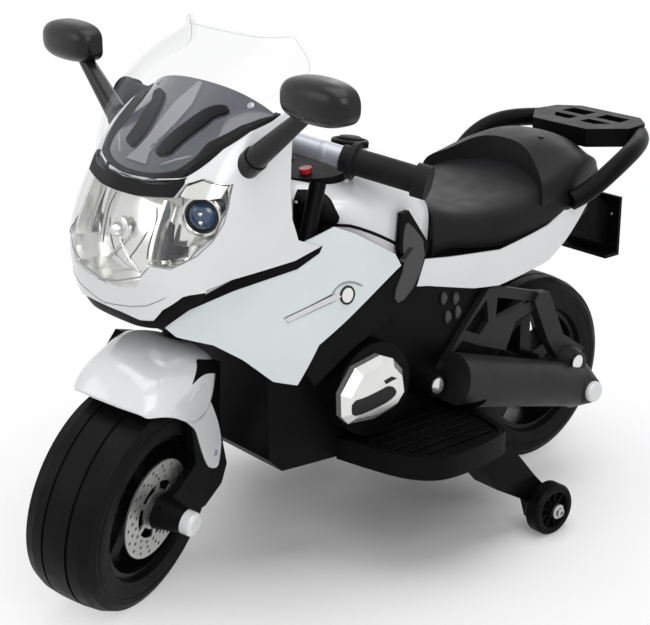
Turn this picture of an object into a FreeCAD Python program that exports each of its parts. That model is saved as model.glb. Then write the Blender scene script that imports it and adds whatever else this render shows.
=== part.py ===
import FreeCAD, Part
import math
import os

V = FreeCAD.Vector

# Sizes are in millimetres. Forward is -Y, the rider's left is +X, up is +Z.
# Side outlines are drawn in shares: along = share of BODY_LENGTH behind the front axle,
# up = share of SADDLE_HEIGHT above the ground, out = share of BODY_HALF_WIDTH from the middle.
BODY_LENGTH = 1000.0
SADDLE_HEIGHT = 500.0
BODY_HALF_WIDTH = 125.0
FRONT_AXLE_SHARE = -0.3646
WHEELBASE_SHARE = 0.68
FRONT_AXLE_Y = FRONT_AXLE_SHARE * BODY_LENGTH
REAR_AXLE_Y = FRONT_AXLE_Y + WHEELBASE_SHARE * BODY_LENGTH

# Wheels
WHEEL_RADIUS = 0.273 * SADDLE_HEIGHT
TYRE_HALF_WIDTH = 0.388 * BODY_HALF_WIDTH
TYRE_SHARES = [(0.8, 0.66), (0.96, 0.68), (1.0, 0.78), (0.99, 0.885), (0.9, 0.95), (0.65, 0.984),
               (0.3, 0.998)]
RIM_RADIUS = 0.66 * WHEEL_RADIUS
RIM_WALL = 6.0
RIM_HALF_WIDTH = 0.82 * TYRE_HALF_WIDTH
HUB_RADIUS = 22.0
HUB_HALF_WIDTH = 0.92 * TYRE_HALF_WIDTH
SPOKE_WIDTH = 20.0
SPOKE_COUNT = 5
AXLE_RADIUS = 6.0
RUNNING_CLEARANCE = 0.05
DISC_RADIUS = 0.46 * WHEEL_RADIUS
DISC_THICKNESS = 2.5
DISC_HOLE_RADIUS = 2.2
DISC_HOLES_PER_RING = 18
DISC_RING_SHARES = [0.66, 0.78, 0.9]
DISC_WINDOW_SHARES = (0.4, 0.58)
DISC_ARMS = 6
DISC_ARM_WIDTH = 7.0
GROOVE_DEPTH = 2.5
GROOVE_HALF_WIDTH = 1.6
GROOVE_PLACE_SHARE = 0.34

# Steering
RAKE = 23.0
STEER_AT_REST = 23.0
STEM_RADIUS = 13.0
HEAD_WALL = 11.0
HEAD_LOW_SHARE = 0.686
HEAD_HIGH_SHARE = 0.86
CROWN_LOW_SHARE = 0.56
CROWN_THICKNESS = 14.0
CROWN_HALF_DEPTH = 22.0
YOKE_THICKNESS = 16.0
YOKE_SHARE = 1.112
YOKE_HALF_WIDTH = 34.0
FORK_ROOM = 4.5
FORK_INNER_X = TYRE_HALF_WIDTH + FORK_ROOM
FORK_THICKNESS = 10.0
FORK_BOSS_LENGTH = 36.0
FENDER_WALL = 3.0
BAR_RADIUS = 14.0
BAR_HALF_LENGTH = 88.0
BAR_BEHIND = 70.0
CLAMP_HALF_SIZE = 17.0
GRIP_RADIUS = 16.5
GRIP_LENGTH = 110.0
GRIP_SWEEP = 9.0
GRIP_DROP = 3.5
AXLE_CAP_RADIUS = 15.0
FRONT_AXLE_REACH = 104.0
REAR_AXLE_REACH = 157.0

# Body
PANEL_WALL = 3.0
SEAT_WALL = 4.0
PAD_WALL = 8.0
SEAM = 0.4
CHASSIS_HALF_WIDTH = 92.0
CHASSIS_WALL = 4.0
SHOULDER_HALF_WIDTH = 112.0
SCREEN_WALL = 2.5
LENS_WALL = 2.0

# Running gear and small parts
STABILISER_RADIUS = 35.0
STABILISER_HALF_WIDTH = 11.5
STABILISER_X = 218.0
STABILISER_ALONG_SHARE = 0.52
RAIL_RADIUS = 13.0
GEAR_THICKNESS = 10.0
DRIVE_TEETH = 48
PINION_TEETH = 12
TOOTH_MODULE = 2.5

# Fork and fender; each fender station is an angle round the hub in degrees, then the radius shares
# of the crown and the sides and the half-width share
FORK_LEG_SHARES = [(-0.016, 0.306), (-0.02, 0.262), (0.01, 0.236), (0.05, 0.216), (0.09, 0.208),
                   (0.125, 0.24), (0.133, 0.29), (0.118, 0.36), (0.1, 0.47), (0.09, 0.61), (0.052, 0.64),
                   (0.03, 0.6), (0.04, 0.46), (0.056, 0.36), (0.02, 0.318)]
FENDER_STATIONS = [(72, 1.14, 1.07, 1.04), (76, 1.25, 1.07, 1.2), (86, 1.36, 1.06, 1.33),
                   (100, 1.42, 1.04, 1.36), (116, 1.4, 1.02, 1.36)]
FENDER_ARCH_SHARES = [(1.0, 0.0), (0.99, 0.45), (0.84, 0.8), (0.5, 0.96), (0.0, 1.0)]
FENDER_LEG_SHARES = [(-0.02, 0.56), (0.03, 0.49), (0.052, 0.44), (0.066, 0.36), (0.075, 0.305),
                     (0.118, 0.285), (0.122, 0.36), (0.114, 0.44), (0.092, 0.52), (0.078, 0.585),
                     (0.07, 0.63), (0.0, 0.6)]

# Nose: level slices through the front fairing, (up, along of the tip, out at the rear, bluntness)
NOSE_LEVELS = [(0.69, 0.008, 0.624, 1.0), (0.73, -0.006, 0.72, 1.0), (0.77, -0.014, 0.832, 1.0),
               (0.82, -0.015, 0.936, 1.0), (0.88, -0.013, 0.992, 1.0), (0.94, -0.006, 1.032, 0.9),
               (1.01, 0.007, 1.048, 0.65), (1.08, 0.025, 1.04, 0.4), (1.16, 0.062, 1.016, 0.2),
               (1.236, 0.104, 0.968, 0.1)]
NOSE_REAR_SHARE = 0.215
NOSE_PLAN_SHARES = [(0.0, 0.0, 0.0), (0.3, 0.006, 0.047), (0.55, 0.024, 0.11), (0.75, 0.068, 0.18),
                    (0.88, 0.15, 0.265), (0.95, 0.26, 0.375), (0.985, 0.42, 0.55), (1.0, 0.7, 0.8),
                    (1.0, 1.0, 1.0)]
FAIRING_SHARES = [(-0.05, 0.775), (-0.012, 0.765), (-0.006, 0.757), (0.002, 0.76), (0.006, 0.79),
                  (0.022, 0.822), (0.079, 0.844), (0.169, 0.853), (0.205, 0.872), (0.17, 0.904),
                  (0.158, 0.96), (0.155, 1.03), (0.158, 1.1), (0.162, 1.152), (0.158, 1.204),
                  (0.139, 1.186), (0.114, 1.17), (0.083, 1.136), (0.046, 1.077), (0.03, 1.064),
                  (-0.05, 1.04)]
HEADLIGHT_SHARES = [(0.0, 0.826), (0.25, 0.824), (0.5, 0.836), (0.56, 0.868), (0.58, 0.89), (0.71, 0.892),
                    (0.81, 0.888), (0.9, 0.908), (0.985, 0.955), (1.0, 1.015), (0.985, 1.066), (0.83, 1.08),
                    (0.715, 1.066), (0.675, 1.036), (0.3, 1.026), (0.0, 1.026)]
HEADLIGHT_MIDDLE_SHARE = 0.95
LAMP_PLACE_SHARES = (0.785, 0.052, 0.988)
LAMP_RADIUS = 23.0
LAMP_LENGTH = 26.0
LAMP_TURN = 34.0
TRAY_DEPTH = 30.0
NOSE_FRONT_SHARE = -0.05
HEADLIGHT_REACH_SHARE = 0.14
BROW_REACH_SHARE = 0.12
LENS_SCALE = 0.995

# Cowl sections from the top down, screen sections from the bottom up:
# (middle along, middle up, edge out, edge along, edge up)
COWL_SECTIONS = [(0.134, 1.244, 0.92, 0.146, 1.2), (0.1, 1.186, 0.89, 0.122, 1.168),
                 (0.06, 1.122, 0.82, 0.088, 1.134), (0.024, 1.054, 0.66, 0.05, 1.072)]
COWL_ARCH_SHARES = [(0.0, 0.0), (0.35, 0.07), (0.65, 0.3), (0.88, 0.68), (1.0, 1.0)]
SCREEN_SECTIONS = [(0.019, 1.055, 0.66, 0.045, 1.076), (0.038, 1.17, 0.82, 0.08, 1.166),
                   (0.068, 1.24, 0.91, 0.116, 1.214), (0.102, 1.296, 0.95, 0.156, 1.255),
                   (0.138, 1.336, 0.92, 0.198, 1.29), (0.162, 1.354, 0.79, 0.188, 1.362)]
SCREEN_ARCH_SHARES = [(0.0, 0.0), (0.4, 0.04), (0.7, 0.18), (0.9, 0.52), (1.0, 1.0)]

# Side and tail panels: a plan line (along, out), levels (up, scale) and a side outline
SIDE_PLAN_SHARES = [(0.01, 0.48), (0.03, 0.624), (0.069, 0.768), (0.102, 0.864), (0.139, 0.944),
                    (0.172, 0.992), (0.242, 1.024), (0.345, 1.02)]
SIDE_LEVELS = [(0.53, 0.96), (0.68, 1.0), (0.8, 0.965), (0.92, 0.93)]
SIDE_SHARES = [(0.019, 0.736), (0.031, 0.708), (0.069, 0.68), (0.102, 0.634), (0.139, 0.566),
               (0.172, 0.542), (0.18, 0.568), (0.2, 0.634), (0.242, 0.676), (0.334, 0.774),
               (0.325, 0.806), (0.263, 0.88), (0.232, 0.908), (0.205, 0.896), (0.1, 0.85), (0.04, 0.81),
               (0.022, 0.772)]
SIDE_PEG_SHARES = [(0.25, 0.78), (0.27, 0.83)]
TAIL_PLAN_SHARES = [(0.345, 0.92), (0.4, 0.95), (0.5, 0.98), (0.6, 0.96), (0.66, 0.87), (0.715, 0.73),
                    (0.772, 0.55)]
TAIL_LEVELS = [(0.62, 0.95), (0.74, 1.0), (0.84, 1.0)]
TAIL_SHARES = [(0.356, 0.704), (0.387, 0.694), (0.469, 0.652), (0.515, 0.64), (0.613, 0.666),
               (0.655, 0.706), (0.715, 0.776), (0.768, 0.806), (0.76, 0.826), (0.7, 0.818),
               (0.652, 0.802), (0.609, 0.77), (0.513, 0.74), (0.424, 0.756), (0.376, 0.768)]

# Tank, seat and passenger pad: sections across the bike, (along, out, top up, shoulder up, bottom up)
TANK_SECTIONS = [(0.226, 0.5, 0.97, 0.945, 0.9), (0.26, 0.78, 0.998, 0.96, 0.88),
                 (0.3, 0.85, 1.018, 0.966, 0.838), (0.345, 0.85, 1.026, 0.968, 0.788),
                 (0.385, 0.79, 1.01, 0.948, 0.79), (0.41, 0.72, 0.97, 0.91, 0.79)]
SEAT_SECTIONS = [(0.412, 0.78, 0.92, 0.885, 0.752), (0.45, 0.8, 0.872, 0.858, 0.76),
                 (0.5, 0.85, 0.85, 0.84, 0.744), (0.55, 0.9, 0.852, 0.842, 0.74),
                 (0.595, 0.91, 0.866, 0.852, 0.75), (0.63, 0.9, 0.88, 0.862, 0.77),
                 (0.68, 0.84, 0.894, 0.874, 0.8), (0.72, 0.74, 0.9, 0.876, 0.826),
                 (0.752, 0.6, 0.9, 0.874, 0.84)]
PAD_SECTIONS = [(0.56, 0.886, 0.91, 0.872, 0.8), (0.6, 0.894, 0.93, 0.885, 0.81),
                (0.64, 0.881, 0.952, 0.905, 0.82), (0.68, 0.83, 0.964, 0.924, 0.83),
                (0.72, 0.728, 0.95, 0.912, 0.84), (0.752, 0.582, 0.922, 0.89, 0.85)]
PAD_STEP_SHARE = 0.642
PAD_STEP_RADIUS = 165.0
PAD_OPEN_SHARE = 0.04
ARCH_SHARES = [(1.0, 0.0), (1.02, 0.45), (0.97, 0.8), (0.82, 1.0)]

# Chassis
CHASSIS_FRONT_SHARE = 0.15
CHASSIS_FLOOR_SHARE = 0.28
CHASSIS_SHARES = [(CHASSIS_FRONT_SHARE, 0.34), (0.17, 0.3), (0.3, CHASSIS_FLOOR_SHARE),
                  (0.45, CHASSIS_FLOOR_SHARE), (0.5, 0.35), (0.522, 0.43), (0.526, 0.58), (0.56, 0.612),
                  (0.65, 0.676), (0.735, 0.744), (0.735, 0.78), (0.4, 0.78), (0.355, 0.776),
                  (0.262, 0.864), (CHASSIS_FRONT_SHARE, 0.864)]
CHASSIS_TAPER_SHARES = [(0.66, 0.74), (0.74, 0.74), (0.74, 0.6)]
SHOULDER_SHARES = [(0.2, 0.6), (0.2, 0.87), (0.262, 0.87), (0.35, 0.78), (0.375, 0.73), (0.33, 0.64),
                   (0.27, 0.6)]

# Head frame and brackets
EDGE_STRIP_SHARES = [(-0.03, 1.03), (-0.03, 1.05), (0.03, 1.068), (0.046, 1.086), (0.083, 1.144),
                     (0.114, 1.178), (0.139, 1.194), (0.152, 1.2), (0.152, 1.14), (0.1, 1.08),
                     (0.06, 1.04)]
CHIN_SHARES = [(-0.03, 0.745), (-0.012, 0.74), (0.0, 0.732), (0.016, 0.732), (0.024, 0.77), (0.05, 0.8),
               (0.05, 0.85), (-0.03, 0.81)]
BROW_SHARES = [(0.0, 1.028), (0.3, 1.028), (0.665, 1.038), (0.705, 1.066), (0.69, 1.078), (0.62, 1.072),
               (0.3, 1.06), (0.0, 1.056)]
BROW_PROUD = 2.5
BRACKET_THICKNESS = 12.0
BRACKET_X = 107.0
BRACKET_REACH_SHARE = 1.1
BRACKET_HEIGHT_SHARES = (0.8, 0.868, 0.94)
POST_RADIUS = 10.0
POST_FOOT_SHARES = (0.8, 0.2, 0.85)
POST_TOP_SHARES = (0.72, 0.23, 1.004)

# Mirrors; the rings of a head run from its inner to its outer end, (place along the head, size)
MIRROR_FOOT_SHARES = (0.993, 0.104, 1.106)
MIRROR_HEAD_SHARES = (1.894, 0.111, 1.278)
MIRROR_BASE_RADIUS = 15.0
MIRROR_BASE_LENGTH = 12.0
MIRROR_PEG_RADIUS = 5.0
MIRROR_HALF_SIZES = (52.0, 26.0, 24.5)
MIRROR_BACK_SHARE = 0.3
MIRROR_RING_POINTS = 12
MIRROR_SQUARE_SHARE = 0.72
MIRROR_RING_SHARES = [(-1.0, 0.4), (-0.93, 0.64), (-0.76, 0.84), (-0.4, 0.97), (0.15, 1.0), (0.56, 0.92),
                      (0.82, 0.74), (0.95, 0.5), (1.0, 0.28)]

# Dash panel, button and rocker
DASH_PLACE_SHARES = (0.285, 0.973)
DASH_HALF_SIZES = (70.0, 46.0)
DASH_THICKNESS = 26.0
DASH_TILT = 8.0
BUTTON_RADIUS = 8.0
BUTTON_HEIGHT = 6.0
BUTTON_TRAVEL = 3.0
BUTTON_PLACE = (28.0, -20.0)
ROCKER_PLACE = (-28.0, -14.0)
ROCKER_HALF_SIZES = (8.0, 14.0)
ROCKER_DEPTH = 9.0
ROCKER_GAP = 0.5
ROCKER_END_GAP = 2.0
ROCKER_RISE = 2.0
ROCKER_BARREL_RADIUS = 3.0
ROCKER_PIN_RADIUS = 1.5
WELL_DEPTH = 14.0

# Flanks
KNEE_SHARES = [(0.186, 0.562), (0.204, 0.624), (0.246, 0.664), (0.342, 0.766), (0.335, 0.812), (0.338, 0.9),
               (0.35, 0.904), (0.386, 0.804), (0.366, 0.704), (0.33, 0.644), (0.262, 0.592), (0.2, 0.524)]
KNEE_THICKNESS = 7.0
ENGINE_PLACE_SHARES = (0.291, 0.472)
ENGINE_RADIUS = 60.0
ENGINE_DEPTH = 32.0
COVER_SHARES = [(0.292, 0.566), (0.252, 0.552), (0.229, 0.494), (0.23, 0.436), (0.241, 0.412),
                (0.286, 0.402), (0.319, 0.416), (0.335, 0.452), (0.33, 0.51), (0.314, 0.546)]
COVER_DEPTH = 18.0
COVER_BEVEL_SHARE = 0.5
HUB_BADGE_SHARES = (0.401, 0.424)
HUB_BADGE_RADIUS = 15.0
HUB_BADGE_DEPTH = 34.0

# Footboards, pedal and stabilisers
FOOTBOARD_SHARES = [(0.736, 0.258), (1.12, 0.268), (1.48, 0.28), (1.7, 0.298), (1.81, 0.322),
                    (1.824, 0.365), (1.78, 0.415), (1.71, 0.442), (0.96, 0.458), (0.736, 0.458)]
FOOTBOARD_CORNER_SHARE = 0.25
FOOTBOARD_LOW_SHARE = CHASSIS_FLOOR_SHARE
FOOTBOARD_HIGH_SHARE = 0.34
RECESS_DEPTH = 5.0
RECESS_RIM = 9.0
PEDAL_HALF_WIDTH = 26.0
PEDAL_LENGTH = 78.0
PEDAL_THICKNESS = 6.0
PEDAL_PIN_RADIUS = 3.0
PEDAL_X_SHARE = 1.2
PEDAL_ALONG_SHARE = 0.425
PEDAL_TILT = 12.0
PIN_RISE = 7.0
LUG_THICKNESS = 6.0
ARM_TOP_SHARES = (1.16, 1.62, 0.392, 0.456)
ARM_MIDDLE_SHARES = (0.43, 0.5, 0.17)
ARM_THICKNESS = 12.0
STABILISER_BOLT_RADIUS = 5.0
STABILISER_GAP = 4.0
STABILISER_TYRE_SHARES = [(-0.9, 0.3), (-0.9, 0.7), (-1.0, 0.78), (-1.0, 0.92), (-0.7, 1.0), (0.7, 1.0),
                          (1.0, 0.92), (1.0, 0.78), (0.9, 0.7), (0.3, 0.66), (0.3, 0.36), (0.9, 0.3),
                          (0.9, 0.2), (-0.9, 0.2)]

# Rear arms and drive
ARM_PLATE_X = CHASSIS_HALF_WIDTH
ARM_PLATE_THICKNESS = 16.0
DRIVE_TUBE_X = 118.0
DRIVE_TUBE_RADIUS = 36.0
DRIVE_TUBE_FRONT_SHARES = (0.43, 0.42)
HUB_CONE_RADIUS = 34.0
STRUT_SHARES = [(0.598, 0.552), (0.606, 0.572), (0.628, 0.566), (0.66, 0.43), (0.706, 0.366), (0.69, 0.33),
                (0.655, 0.35), (0.63, 0.42)]
TRUSS_SHARES = [(0.423, 0.43), (0.514, 0.622), (0.532, 0.622), (0.626, 0.562), (0.624, 0.53), (0.57, 0.506),
                (0.552, 0.43), (0.5, 0.47), (0.468, 0.5), (0.44, 0.45)]
TRUSS_WINDOW_SHARES = [(0.532, 0.59), (0.598, 0.55), (0.53, 0.53)]
TRUSS_SLOT_SHARES = [(0.472, 0.526), (0.512, 0.594), (0.516, 0.53), (0.5, 0.5)]
TRUSS_THICKNESS = 9.0
WHEEL_BADGE_SHARES = (0.673, 0.346)
WHEEL_BADGE_REACH = 128.0
FOOT_ROOM = 12.0
FOOT_ROOM_SHARE = 0.468
ARM_FRONT_SHARE = 0.3
ARM_SPLIT_SHARE = 0.53
ARM_END_SHARE = 1.0
PINION_ANGLE = 60.0
MOTOR_RADIUS = 20.0
GEAR_GAP = 1.5
TOOTH_TIP_SHARE = 0.2
TOOTH_ROOT_SHARE = 0.48

# Tail
RAIL_SHARES = [(0.93, 0.652, 0.818), (1.0, 0.678, 0.842), (1.05, 0.714, 0.884), (1.0, 0.762, 0.92),
               (0.82, 0.806, 0.928), (0.6, 0.838, 0.928)]
RACK_SHARES = [(0.4, 0.754), (0.7, 0.8), (0.66, 0.842), (0.44, 0.866)]
RACK_LOW_SHARE = 0.908
RACK_HIGH_SHARE = 0.96
RACK_HOLE_SHARES = [[(0.08, 0.786), (0.3, 0.786), (0.42, 0.806), (0.08, 0.806)],
                    [(0.08, 0.82), (0.44, 0.82), (0.42, 0.846), (0.08, 0.846)]]
PLATE_ALONG_SHARE = 0.838
PLATE_THICKNESS = 5.0
PLATE_HALF_WIDTH = 50.0
PLATE_LOW_SHARE = 0.556
PLATE_HIGH_SHARE = 0.732
PLATE_HOLE_SHARE = 0.676
PLATE_HOLE_RADIUS = 2.6
PLATE_HOLE_SPACING = 70.0
HOLDER_ARM_HALF_WIDTH = 30.0
HOLDER_ARM_SHARES = [(0.735, 0.745), (0.735, 0.78), (0.79, 0.77), (PLATE_ALONG_SHARE, 0.7),
                     (PLATE_ALONG_SHARE, 0.58), (0.81, 0.6), (0.79, 0.72)]
TAIL_LIGHT_SHARES = [(0.715, 0.78), (0.715, 0.834), (0.772, 0.832), (0.778, 0.808), (0.77, 0.78)]
TAIL_LIGHT_HALF_SHARE = 0.42

# Inside the body
BATTERY_SIZES = (140.0, 94.0, 96.0)
BATTERY_ALONG_SHARE = 0.375
CONTROL_SIZES = (80.0, 60.0, 26.0)
SOCKET_RADIUS = 8.0
SOCKET_BORE = 3.2
SOCKET_PLACE_SHARES = (0.45, 0.62)


def along(share):
    return FRONT_AXLE_Y + share * BODY_LENGTH


def up(share):
    return share * SADDLE_HEIGHT


def out(share):
    return share * BODY_HALF_WIDTH


def side_point(place, x):
    return V(x, along(place[0]), up(place[1]))


def closed_face(points):
    return Part.Face(Part.makePolygon(points + [points[0]]))


def side_prism(shares, x_low, x_high):
    face = closed_face([side_point(place, x_low) for place in shares])
    return face.extrude(V(x_high - x_low, 0, 0))


def box(x_low, x_high, y_low, y_high, z_low, z_high):
    return Part.makeBox(x_high - x_low, y_high - y_low, z_high - z_low, V(x_low, y_low, z_low))


def rod(radius, start, end):
    return Part.makeCylinder(radius, start.distanceToPoint(end), start, end - start)


def taper(radius_start, radius_end, start, end):
    return Part.makeCone(radius_start, radius_end, start.distanceToPoint(end), start, end - start)


def curve(points):
    spline = Part.BSplineCurve()
    spline.interpolate(points)
    return spline.toShape()


def strip_wire(outer, inner):
    back = list(reversed(inner))
    edges = [curve(outer), Part.makeLine(outer[-1], back[0])]
    edges += [curve(back), Part.makeLine(back[-1], outer[0])]
    return Part.Wire(edges)


def loft(wires):
    return Part.makeLoft(wires, True, False, False, 3)


def tube(points, radius):
    path = curve(points)
    start = path.tangentAt(path.FirstParameter)
    ring = Part.Wire([Part.makeCircle(radius, points[0], start)])
    return Part.Wire([path]).makePipeShell([ring], True, True)


def mirrored(shape):
    return shape.mirror(V(0, 0, 0), V(1, 0, 0))


def joined(shapes):
    whole = shapes[0]
    for shape in shapes[1:]:
        whole = whole.fuse(shape)
    return whole.removeSplitter()


def turned_x(profile, y, z):
    face = closed_face([V(x, y, z + radius) for x, radius in profile])
    return face.revolve(V(0, y, z), V(1, 0, 0), 360)


def leaned_wheel_height():
    lean = math.asin(math.sin(math.radians(RAKE)) * math.sin(math.radians(STEER_AT_REST)))
    upright = WHEEL_RADIUS * math.cos(lean)
    leaning = TYRE_HALF_WIDTH * math.sin(lean)
    return max(r * upright + x * leaning for x, r in TYRE_SHARES)


FRONT_HUB = V(0, FRONT_AXLE_Y, leaned_wheel_height())
REAR_HUB = V(0, REAR_AXLE_Y, WHEEL_RADIUS)
STEER_AXIS = V(0, math.sin(math.radians(RAKE)), math.cos(math.radians(RAKE)))
BEHIND_AXIS = V(0, math.cos(math.radians(RAKE)), -math.sin(math.radians(RAKE)))


def on_stem(height):
    return FRONT_HUB + STEER_AXIS * ((height - FRONT_HUB.z) / STEER_AXIS.z)


def steered(shape):
    turned = shape.copy()
    turned.rotate(FRONT_HUB, STEER_AXIS, STEER_AT_REST)
    return turned


# Wheels

def tyre(hub):
    right = [(-x * TYRE_HALF_WIDTH, r * WHEEL_RADIUS) for x, r in TYRE_SHARES]
    left = [(x * TYRE_HALF_WIDTH, r * WHEEL_RADIUS) for x, r in reversed(TYRE_SHARES)]
    ring = turned_x(right + [(0, WHEEL_RADIUS)] + left, hub.y, hub.z)
    for side in (-1, 1):
        middle = side * GROOVE_PLACE_SHARE * TYRE_HALF_WIDTH
        low = middle - GROOVE_HALF_WIDTH
        high = middle + GROOVE_HALF_WIDTH
        floor = 0.995 * WHEEL_RADIUS - GROOVE_DEPTH
        ceiling = WHEEL_RADIUS + GROOVE_DEPTH
        groove = turned_x([(low, floor), (high, floor), (high, ceiling), (low, ceiling)], hub.y, hub.z)
        ring = ring.cut(groove)
    return ring


def rim(hub):
    inner = RIM_RADIUS - RIM_WALL
    barrel = turned_x([(-RIM_HALF_WIDTH, inner), (RIM_HALF_WIDTH, inner),
                       (RIM_HALF_WIDTH, RIM_RADIUS), (-RIM_HALF_WIDTH, RIM_RADIUS)], hub.y, hub.z)
    core = rod(HUB_RADIUS, hub - V(HUB_HALF_WIDTH, 0, 0), hub + V(HUB_HALF_WIDTH, 0, 0))
    pieces = [barrel, core]
    spoke_half = 0.5 * RIM_HALF_WIDTH
    for number in range(SPOKE_COUNT):
        spoke = box(-spoke_half, spoke_half, hub.y - SPOKE_WIDTH / 2, hub.y + SPOKE_WIDTH / 2,
                    hub.z, hub.z + inner + RIM_WALL / 2)
        spoke.rotate(hub, V(1, 0, 0), number * 360 / SPOKE_COUNT)
        pieces.append(spoke)
    reach = V(TYRE_HALF_WIDTH, 0, 0)
    return joined(pieces).cut(rod(AXLE_RADIUS + RUNNING_CLEARANCE, hub - reach, hub + reach))


def disc_windows(near, far):
    inner_share, outer_share = DISC_WINDOW_SHARES
    ring = rod(outer_share * DISC_RADIUS, near, far).cut(rod(inner_share * DISC_RADIUS, near, far))
    low, high = sorted([near.x, far.x])
    half = DISC_ARM_WIDTH / 2
    for number in range(DISC_ARMS):
        arm = box(low, high, near.y - half, near.y + half, near.z, near.z + DISC_RADIUS)
        arm.rotate(near, V(1, 0, 0), number * 360 / DISC_ARMS)
        ring = ring.cut(arm)
    return ring


def brake_disc(side):
    near = FRONT_HUB + V(side * HUB_HALF_WIDTH, 0, 0)
    far = near + V(side * DISC_THICKNESS, 0, 0)
    disc = rod(DISC_RADIUS, near, far)
    disc = disc.cut(rod(AXLE_RADIUS + RUNNING_CLEARANCE, near, far)).cut(disc_windows(near, far))
    holes = []
    for ring_number, share in enumerate(DISC_RING_SHARES):
        for number in range(DISC_HOLES_PER_RING):
            rise = V(0, 0, share * DISC_RADIUS)
            hole = rod(DISC_HOLE_RADIUS, near + rise, far + rise)
            turn = (number + ring_number / len(DISC_RING_SHARES)) * 360 / DISC_HOLES_PER_RING
            hole.rotate(near, V(1, 0, 0), turn)
            holes.append(hole)
    return disc.cut(Part.makeCompound(holes))


# Steering pieces, drawn straight ahead and then turned to the rest angle


def fork_leg(side):
    low, high = sorted([side * FORK_INNER_X, side * (FORK_INNER_X + FORK_THICKNESS)])
    leg = side_prism(FORK_LEG_SHARES, low, high)
    boss_start = FRONT_HUB + V(side * FORK_INNER_X, 0, 0)
    boss_end = FRONT_HUB + V(side * (FORK_INNER_X + FORK_BOSS_LENGTH), 0, 0)
    leg = joined([leg, taper(1.5 * AXLE_CAP_RADIUS, AXLE_CAP_RADIUS, boss_start, boss_end)])
    return leg.cut(rod(AXLE_RADIUS, FRONT_HUB, boss_end))


def crown():
    middle = on_stem(up(CROWN_LOW_SHARE))
    top = middle + STEER_AXIS * CROWN_THICKNESS
    plate = box(-FORK_INNER_X, FORK_INNER_X, -CROWN_HALF_DEPTH, CROWN_HALF_DEPTH, 0, CROWN_THICKNESS)
    plate.rotate(V(0, 0, 0), V(1, 0, 0), -RAKE)
    plate.translate(middle)
    return plate.cut(rod(STEM_RADIUS, middle, top))


def stem():
    top = on_stem(up(YOKE_SHARE)) + STEER_AXIS * YOKE_THICKNESS
    return rod(STEM_RADIUS, on_stem(up(CROWN_LOW_SHARE)), top)


def bar_middle():
    return on_stem(up(YOKE_SHARE)) + STEER_AXIS * (YOKE_THICKNESS / 2) + BEHIND_AXIS * BAR_BEHIND


def top_yoke():
    low = on_stem(up(YOKE_SHARE))
    back = BAR_BEHIND - CLAMP_HALF_SIZE
    plate = box(-YOKE_HALF_WIDTH, YOKE_HALF_WIDTH, -1.8 * STEM_RADIUS, back, 0, YOKE_THICKNESS)
    plate.rotate(V(0, 0, 0), V(1, 0, 0), -RAKE)
    plate.translate(low)
    return plate.cut(rod(STEM_RADIUS, low, low + STEER_AXIS * YOKE_THICKNESS))


def grip_direction(side):
    sweep = math.radians(GRIP_SWEEP)
    drop = math.radians(GRIP_DROP)
    return V(side * math.cos(sweep) * math.cos(drop), math.sin(sweep) * math.cos(drop), -math.sin(drop))


def handlebar():
    middle = bar_middle()
    pieces = [rod(BAR_RADIUS, middle - V(BAR_HALF_LENGTH, 0, 0), middle + V(BAR_HALF_LENGTH, 0, 0))]
    for side in (-1, 1):
        corner = middle + V(side * BAR_HALF_LENGTH, 0, 0)
        pieces.append(Part.makeSphere(1.04 * BAR_RADIUS, corner))
        pieces.append(rod(BAR_RADIUS, corner, corner + grip_direction(side) * (1.6 * BAR_RADIUS)))
    clamp = box(-YOKE_HALF_WIDTH, YOKE_HALF_WIDTH, -CLAMP_HALF_SIZE, CLAMP_HALF_SIZE,
                -YOKE_THICKNESS / 2, YOKE_THICKNESS / 2)
    clamp.rotate(V(0, 0, 0), V(1, 0, 0), -RAKE)
    clamp.translate(middle)
    return joined(pieces + [clamp])


def grip(side):
    direction = grip_direction(side)
    start = bar_middle() + V(side * BAR_HALF_LENGTH, 0, 0) + direction * (1.6 * BAR_RADIUS)
    flange = GRIP_LENGTH / 10
    body = rod(GRIP_RADIUS, start, start + direction * GRIP_LENGTH)
    end = start + direction * GRIP_LENGTH
    inner_ring = rod(1.4 * GRIP_RADIUS, start + direction * flange, start + direction * (1.6 * flange))
    end_ring = rod(1.25 * GRIP_RADIUS, end - direction * (1.6 * flange), end)
    return joined([body, inner_ring, end_ring])


def fender_arch(station, inset):
    angle, crown_share, side_share, half_share = station
    radians = math.radians(angle)
    upward = V(0, -math.cos(radians), math.sin(radians))
    half = half_share * TYRE_HALF_WIDTH - inset
    low = side_share * WHEEL_RADIUS
    high = crown_share * WHEEL_RADIUS - inset
    points = []
    for x_share, rise_share in FENDER_ARCH_SHARES:
        points.append(FRONT_HUB + V(x_share * half, 0, 0) + upward * (low + rise_share * (high - low)))
    for x_share, rise_share in reversed(FENDER_ARCH_SHARES[:-1]):
        points.append(FRONT_HUB + V(-x_share * half, 0, 0) + upward * (low + rise_share * (high - low)))
    return points


def front_fender():
    wires = []
    for station in FENDER_STATIONS:
        wires.append(strip_wire(fender_arch(station, 0), fender_arch(station, FENDER_WALL)))
    pieces = [loft(wires)]
    for side in (-1, 1):
        inner = side * (FORK_INNER_X + FORK_THICKNESS)
        outer = inner + side * FENDER_WALL
        low, high = sorted([inner, outer])
        pieces.append(side_prism(FENDER_LEG_SHARES, low, high))
    fender = joined(pieces)
    for neighbour in (stem(), crown(), fork_leg(1), fork_leg(-1)):
        fender = fender.cut(neighbour)
    return largest(fender)


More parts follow.
